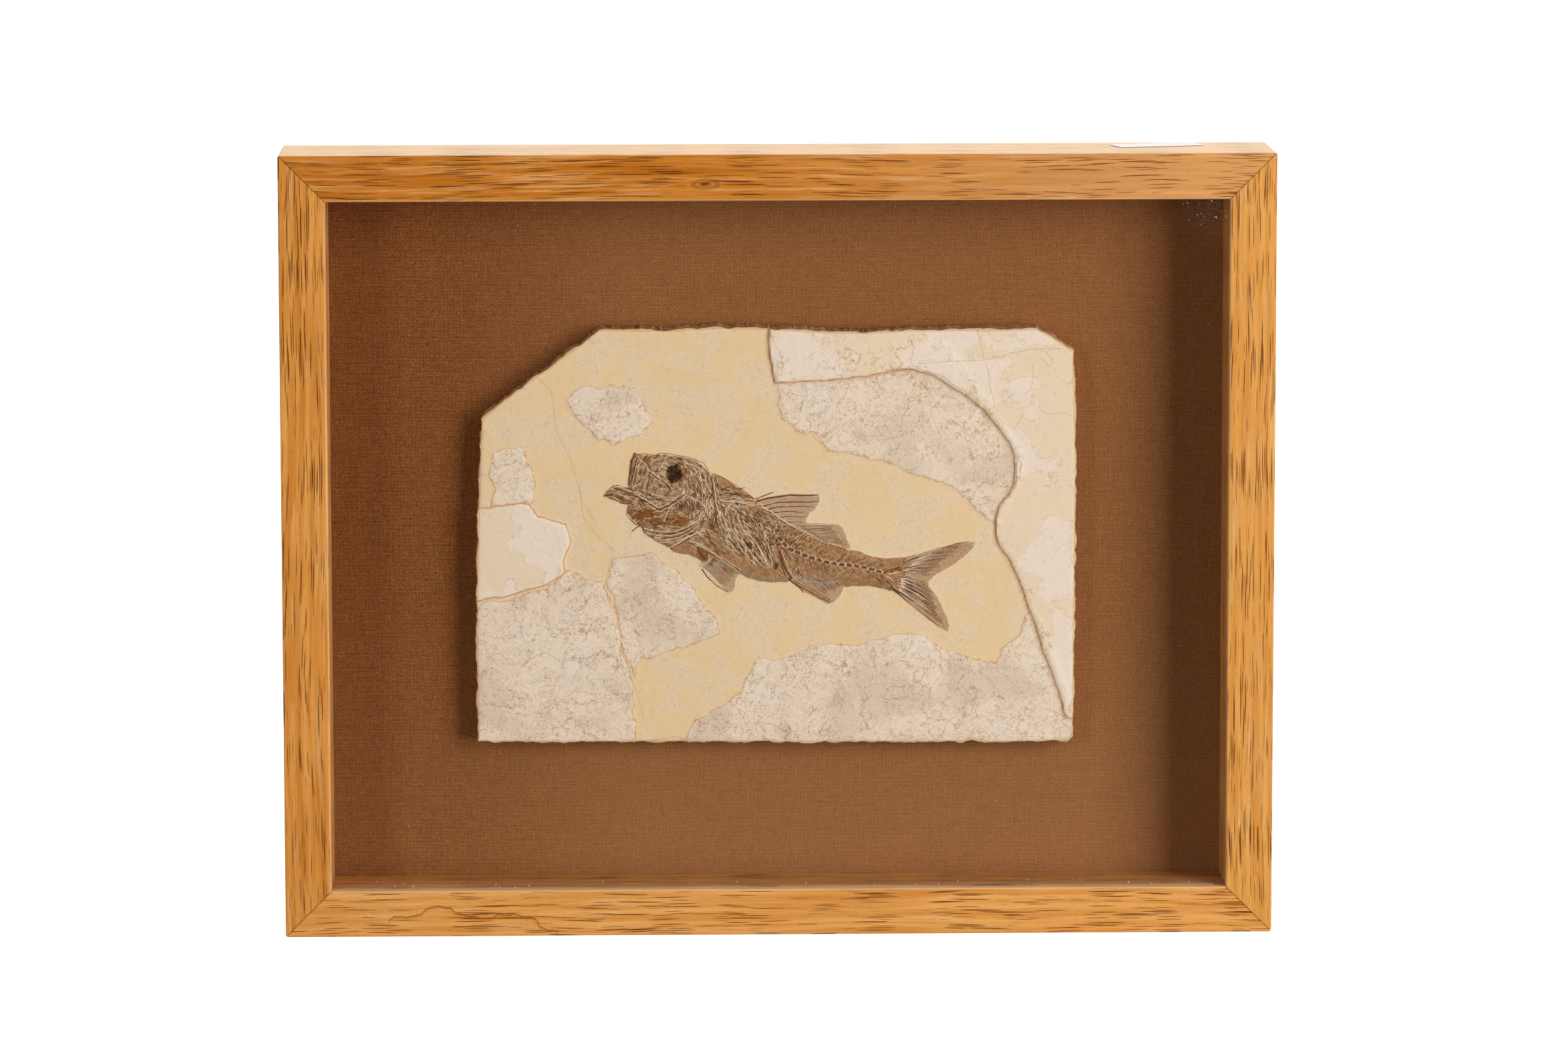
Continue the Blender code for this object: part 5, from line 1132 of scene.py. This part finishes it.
stoneLook = {
    "tones": {
        "cream": ((230, 198, 156), (228, 202, 170)), "grey": ((235, 214, 191), (232, 210, 191)),
        "white": ((231, 207, 179), (234, 214, 197)), "skin": ((151, 106, 69), (170, 127, 88)),
        "web": ((158, 120, 90), (190, 154, 122)), "eye": ((26, 16, 14), (107, 62, 39)),
        "flank": ((165, 114, 68), (224, 184, 136)), "flankGrain": (110, 78, 52),
        "creamStain": (208, 186, 158), "creamWarm": (232, 193, 140), "greyStain": (213, 191, 168),
        "cloudy": (211, 187, 165), "rosy": (236, 218, 208), "fleck": (156, 127, 101), "grit": (242, 226, 206),
        "rustLine": (196, 128, 62), "vein": (178, 140, 100), "halo": (200, 156, 104),
        "skinDark": (72, 43, 26), "skinPale": (223, 199, 166), "belly": (149, 119, 94),
        "amber": (124, 70, 18), "gap": (80, 49, 30), "ridge": (216, 188, 151),
    },
    "crushed": [                     # streaks: middle, reach across and up, angle, bend, strength
        ((90, 140), 15, 14, 62, 0.02, 0.8), ((103, 141), 14, 11, -30, 0.03, 0.8),
        ((100, 117), 22, 14, 8, 0.018, 0.9), ((77, 130), 14, 6, -18, 0.0, 0.9),
        ((117, 131), 9, 18, -78, 0.01, 1.0), ((131, 118), 12, 14, -62, 0.012, 0.9),
        ((143, 107), 14, 14, -56, 0.008, 0.9), ((137, 128), 15, 6, -14, 0.0, 0.5),
        ((160, 108), 16, 9, 44, 0.0, 0.75), ((122, 104), 13, 8, -32, 0.0, 0.5),
        ((172, 93), 20, 8, -62, 0.0, 0.4), ((195, 92), 18, 8, 30, 0.0, 0.35),
    ],
    "blots": [                       # middle, reach across and up, strength, colour
        ((87.0, 119.4), 5.6, 3.4, 0.85, "amber"), ((92.6, 115.6), 4.2, 2.6, 0.9, "amber"),
        ((104.6, 115.8), 5.2, 2.6, 0.9, "amber"), ((108.6, 124.4), 7.0, 3.6, 0.6, "skinDark"),
        ((117.2, 98.4), 3.4, 3.4, 0.75, "amber"), ((154.6, 92.6), 1.2, 2.2, 0.9, "skinDark"),
        ((141.5, 103.0), 3.6, 2.2, 0.7, "skinDark"), ((122.5, 115.5), 3.4, 4.4, 0.55, "skinDark"),
        ((134.0, 129.0), 9.0, 2.0, 0.3, "amber"), ((150.5, 95.5), 4.0, 4.0, 0.3, "skinPale"),
    ],
}


def stonePaint(look):
    paint = Paint("limestone")
    tone = toned(look)
    spot = paint.place()
    white, plate, grey, rim = (paint.field(name) for name in ("white", "plate", "grey", "rim"))
    nibble = paint.noise(spot, 0.6, 4.0, 0.75) - 0.5           # makes each border ragged
    whiteEdge, plateEdge, greyEdge = white + nibble * 0.9, plate + nibble * 0.9, grey + nibble * 1.8
    upperIn = whiteEdge.ramp(-0.12, 0.12).maths("MAXIMUM", plateEdge.ramp(-0.12, 0.12))
    greyIn = greyEdge.ramp(-0.15, 0.15)
    isles = paint.noise(spot, 0.03, 5.0, 0.55, 0.3)            # two families of ragged patches
    islets = paint.noise(paint.place(shift=(40, 0, 90)), 0.05, 6.0, 0.58, 0.3)
    blotch = paint.noise(spot, 0.09, 4.0, 0.6, 0.5)
    mottle = paint.noise(spot, 0.35, 4.0, 0.7, 0.3)
    grain = paint.noise(spot, 1.1, 3.0, 0.7)
    fleck = paint.noise(spot, 1.35, 2.0, 0.6, 1.2)
    cloud = paint.noise(spot, 0.022, 3.0, 0.5, 0.4)
    cluster = blotch.ramp(0.46, 0.62)
    bed = paint.coats(                                         # the cream bed
        paint.mix(islets.ramp(0.485, 0.53) * 0.8, *tone["cream"]),
        (mottle.ramp(0.52, 0.7) * 0.5, tone["creamStain"]),
        (mottle.ramp(0.48, 0.3) * blotch.ramp(0.55, 0.4) * 0.6, tone["creamWarm"]),
        (fleck.ramp(0.6, 0.68) * (islets.ramp(0.49, 0.53) * 0.4 + cluster * 0.15 + 0.05), tone["fleck"]))
    ashy = paint.coats(                                        # the grey layers
        paint.mix(isles.ramp(0.43, 0.57), *tone["grey"]),
        (cloud.ramp(0.52, 0.64) * 0.6, tone["cloudy"]),
        (cloud.ramp(0.46, 0.36) * 0.6, tone["rosy"]),
        (mottle.ramp(0.5, 0.66) * 0.6, tone["greyStain"]),
        (grain.ramp(0.58, 0.68) * 0.6, tone["grit"]),
        (fleck.ramp(0.53, 0.62) * (cluster * 0.55 + 0.3), tone["fleck"]),
        (fleck.ramp(0.36, 0.28) * (cluster * 0.5 + 0.4), tone["fleck"]))
    chalk = paint.coats(                                       # the white plates
        paint.mix(isles.ramp(0.46, 0.55), *tone["white"]),
        (mottle.ramp(0.54, 0.7) * 0.35, tone["greyStain"]),
        (fleck.ramp(0.58, 0.67) * (cluster * 0.5 + 0.04) * isles.ramp(0.46, 0.54, 0.4, 1.0), tone["fleck"]))
    # thin crooked veins, and rusty lines where one layer ends on another
    veins = isles.near(0.5, 0.009) * (greyIn * 0.4 + upperIn.maths("MAXIMUM", greyIn) * 0.25 + 0.1)
    veins = veins.maths("MAXIMUM", islets.near(0.57, 0.009) * (greyIn * 0.4 + 0.2))
    veins = veins.maths("MAXIMUM", islets.near(0.45, 0.009) * (greyIn * 0.5 + 0.1))
    # painted shade: a soft brown band on the lower layer just outside the raised plates
    halo = (white * -1).ramp(0.0, 3.0, 0.5, 0.0).maths("MAXIMUM", (plate * -1).ramp(0.0, 1.4, 0.35, 0.0))
    thin = whiteEdge.near(-0.15, 0.6).maths("MAXIMUM", plateEdge.near(-0.15, 0.55))
    soft = greyEdge.near(0.0, 0.5) * (1 - upperIn) * (mottle.ramp(0.36, 0.6) * 0.6 + 0.3)
    skin, fishIn, finIn, web = fishSkin(paint, look, spot, mottle, fleck)
    facing = abs(paint.split(paint.node("ShaderNodeNewGeometry", {}, {}, "Normal"))[1])
    strata = paint.noise(paint.place(0.05, 1.3, 0.05), 1.0, 3.0, 0.6)
    flank = paint.mix(strata.ramp(0.36, 0.62), *tone["flank"])
    flank = paint.mix(grain.ramp(0.45, 0.65) * 0.5, flank, tone["flankGrain"])
    colour = paint.coats(
        bed, (greyIn, ashy), (upperIn, chalk),
        (veins * mottle.ramp(0.36, 0.56), tone["vein"]),
        # painted shade beside the raised plates, in the brown that also marks the weathered rim
        (halo * (1 - upperIn) * (mottle.ramp(0.3, 0.6) * 0.5 + 0.5), tone["halo"]),
        (thin.maths("MAXIMUM", soft) * 0.8, tone["rustLine"]),
        # the slab's weathered rim, in the same brown
        ((rim + nibble * 1.2).ramp(0.5, 1.4, 0.6, 0.0), tone["halo"]),
        (finIn * 0.92, web), (fishIn, skin),
        (facing.ramp(0.3, 0.6, 1.0, 0.0) * rim.ramp(1.6, 3.0, 1.0, 0.0), flank))
    paint.use(Base_Color=colour, Roughness=0.88, Specular_IOR_Level=0.05,
              Normal=paint.bump(grain * 0.5 + fleck * 0.3 + mottle * 0.6, 0.00025, 0.8))
    return paint


def fromCentre(paint, centre):                                 # millimetres across and up from a place
    x, y, z = paint.split(paint.place())
    return x - (slabPlace["left"] / mm + centre[0]), z - (slabPlace["bottom"] / mm + centre[1])


def fibres(paint, centre, angle, along, across, bend):         # streaks that lie at an angle, from 0 to 1
    u, v = fromCentre(paint, centre)
    c, s = math.cos(math.radians(angle)), math.sin(math.radians(angle))
    run = u * c + v * s
    side = v * c - u * s + run * run * bend
    return paint.noise(paint.join(run * along, side * across, 0), 1.0, 3.0, 0.65, 0.6)


def spotMask(paint, centre, wide, high, rough):                # a ragged patch round a place on the slab
    u, v = fromCentre(paint, centre)
    across, up = u / wide, v / high
    reach = (across * across + up * up).maths("SQRT") + (rough - 0.5) * 1.3
    return reach.ramp(0.82, 1.08, 1.0, 0.0)


def fishSkin(paint, look, spot, mottle, fleck):
    tone = toned(look)
    fish, fins = paint.field("fish"), paint.field("fins")
    fine = paint.noise(spot, 1.5, 3.0, 0.7)
    fishIn = (fish + (fine - 0.5) * 1.3).ramp(-0.2, 0.2)
    finIn = (fins + (fine - 0.5) * 1.3).ramp(-0.15, 0.2)
    belly = fish.ramp(1.0, 4.5, 1.0, 0.0) * spotMask(paint, (150, 86), 42, 12, fine)
    skin = paint.coats(
        paint.mix(mottle.ramp(0.42, 0.6), *tone["skin"]),
        (fine.ramp(0.57, 0.67) * 0.5, tone["skinPale"]),
        (fine.ramp(0.43, 0.33) * 0.45, tone["gap"]),
        (belly * 0.8, paint.mix(fine.ramp(0.54, 0.66), tone["belly"], tone["skinPale"])))
    for centre, wide, high, angle, bend, strength in look["crushed"]:
        patch = spotMask(paint, centre, wide, high, mottle) * strength
        streaks = fibres(paint, centre, angle, 0.24, 1.05, bend)
        skin = paint.coats(skin, (streaks.ramp(0.47, 0.39) * patch * 0.85, tone["gap"]),
                           (streaks.ramp(0.54, 0.6) * patch * 0.85, tone["ridge"]))
    for centre, wide, high, strength, name in look["blots"]:
        patch = spotMask(paint, centre, wide, high, fine) * (mottle.ramp(0.3, 0.55) * 0.5 + 0.5)
        skin = paint.mix(patch * strength, skin, tone[name])
    pupil = paint.mix((fine * 0.5 + mottle * 0.5).ramp(0.5, 0.58), *tone["eye"])
    eye = spotMask(paint, (102.3, 140.8), 4.3, 5.2, fine * 0.6 + mottle * 0.4)
    skin = paint.mix(eye * 0.95, skin, pupil)
    tailward = fromCentre(paint, (206, 0))[0].ramp(0.0, 8.0)
    web = paint.coats(
        paint.mix(fine.ramp(0.4, 0.6), *tone["web"]),
        (tailward * 0.65, paint.mix(fine.ramp(0.42, 0.58), tone["skin"][0], tone["web"][1])),
        (fleck.ramp(0.55, 0.65) * 0.5, tone["skinPale"]),
        (fins.ramp(0.0, 0.9, 0.6, 0.0) * fine.ramp(0.5, 0.6), tone["skinPale"]))
    return skin, fishIn, finIn, web


def makeFossil():
    slab = makeSlab(slabLook)
    dress(slab, stonePaint(stoneLook))
    print("stone made:", len(slab.data.polygons))
    bones = makeBones(boneLook)
    selectOnly(slab)
    bpy.ops.object.shade_smooth_by_angle(angle=math.radians(40))
    for piece in bones:
        piece.select_set(True)
    bpy.ops.object.join()
    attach(slab, "root")
    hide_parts("fossil_slab")
    slab.data.calc_loop_triangles()
    print("slab triangles:", len(slab.data.loop_triangles))


# label, back and fittings

labelLook = {"tones": {"paper": ((240, 232, 224), (247, 241, 235)), "smudge": (232, 224, 214)}}

backLook = {
    "tones": {
        "panel": ((120, 84, 56), (156, 116, 82)), "screen": (98, 66, 42),
        "board": ((212, 206, 196), (228, 224, 216)), "zinc": ((168, 170, 174), (196, 198, 200)),
    },
    "screenPitch": 1.1,              # millimetres between the wires that pressed the panel
}


def dressLabel(look):
    paint = Paint("labelPaper")
    tone = toned(look)
    fibre = paint.noise(paint.place(0.6), 1.0, 4.0, 0.7)
    smudge = paint.noise(paint.place(0.06))
    colour = paint.mix(fibre.ramp(0.3, 0.7), *tone["paper"])
    colour = paint.mix(smudge.ramp(0.5, 0.7) * 0.3, colour, tone["smudge"])
    paint.use(Base_Color=colour, Roughness=0.7, Normal=paint.bump(fibre, 0.00003, 0.6))
    dress(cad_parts["paper_label"], paint)
    print("label dressed")


def dressBack(look):
    tone = toned(look)
    panel = Paint("hardboard")
    fibre = panel.noise(panel.place(0.8, 0.8, 2.4), 1.0, 4.0, 0.7)
    x, y, z = panel.split(panel.place())
    turn = math.pi / look["screenPitch"]
    screen = abs((x * turn).maths("SINE")) * abs((z * turn).maths("SINE"))
    colour = panel.mix(fibre.ramp(0.35, 0.65), *tone["panel"])
    colour = panel.mix(screen.ramp(0.6, 1.0) * 0.25, colour, tone["screen"])
    panel.use(Base_Color=colour, Roughness=0.75, Normal=panel.bump(screen * 0.7 + fibre * 0.5, 0.0002, 0.6))
    dress(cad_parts["back_panel"], panel)
    board = Paint("greyBoard")
    pulp = board.noise(board.place(), 0.9, 4.0, 0.7)
    board.use(Base_Color=board.mix(pulp.ramp(0.3, 0.7), *tone["board"]), Roughness=0.85,
              Normal=board.bump(pulp, 0.00008, 0.5))
    dress(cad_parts["mount_board"], board)
    zinc = Paint("zincSteel")
    scratch = zinc.noise(zinc.place(0.4, 3.0, 3.0), 1.0, 3.0, 0.6)
    spangle = zinc.cells(zinc.place(), 0.5)
    zinc.use(Base_Color=zinc.mix(spangle.ramp(0.2, 0.8), *tone["zinc"]), Metallic=1.0,
             Roughness=scratch.ramp(0.3, 0.7, 0.28, 0.5), Normal=zinc.bump(scratch, 0.00003, 0.5))
    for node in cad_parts:
        if node.startswith("point_") or "hanger" in node:
            dress(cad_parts[node], zinc)
    print("back dressed")


bpy.ops.object.select_all(action="DESELECT")
makeStudio(studio)
dressRails(oakLook)
dressGlass(glassLook)
makeLinen(linenLook)
makeFossil()
dressLabel(labelLook)
dressBack(backLook)
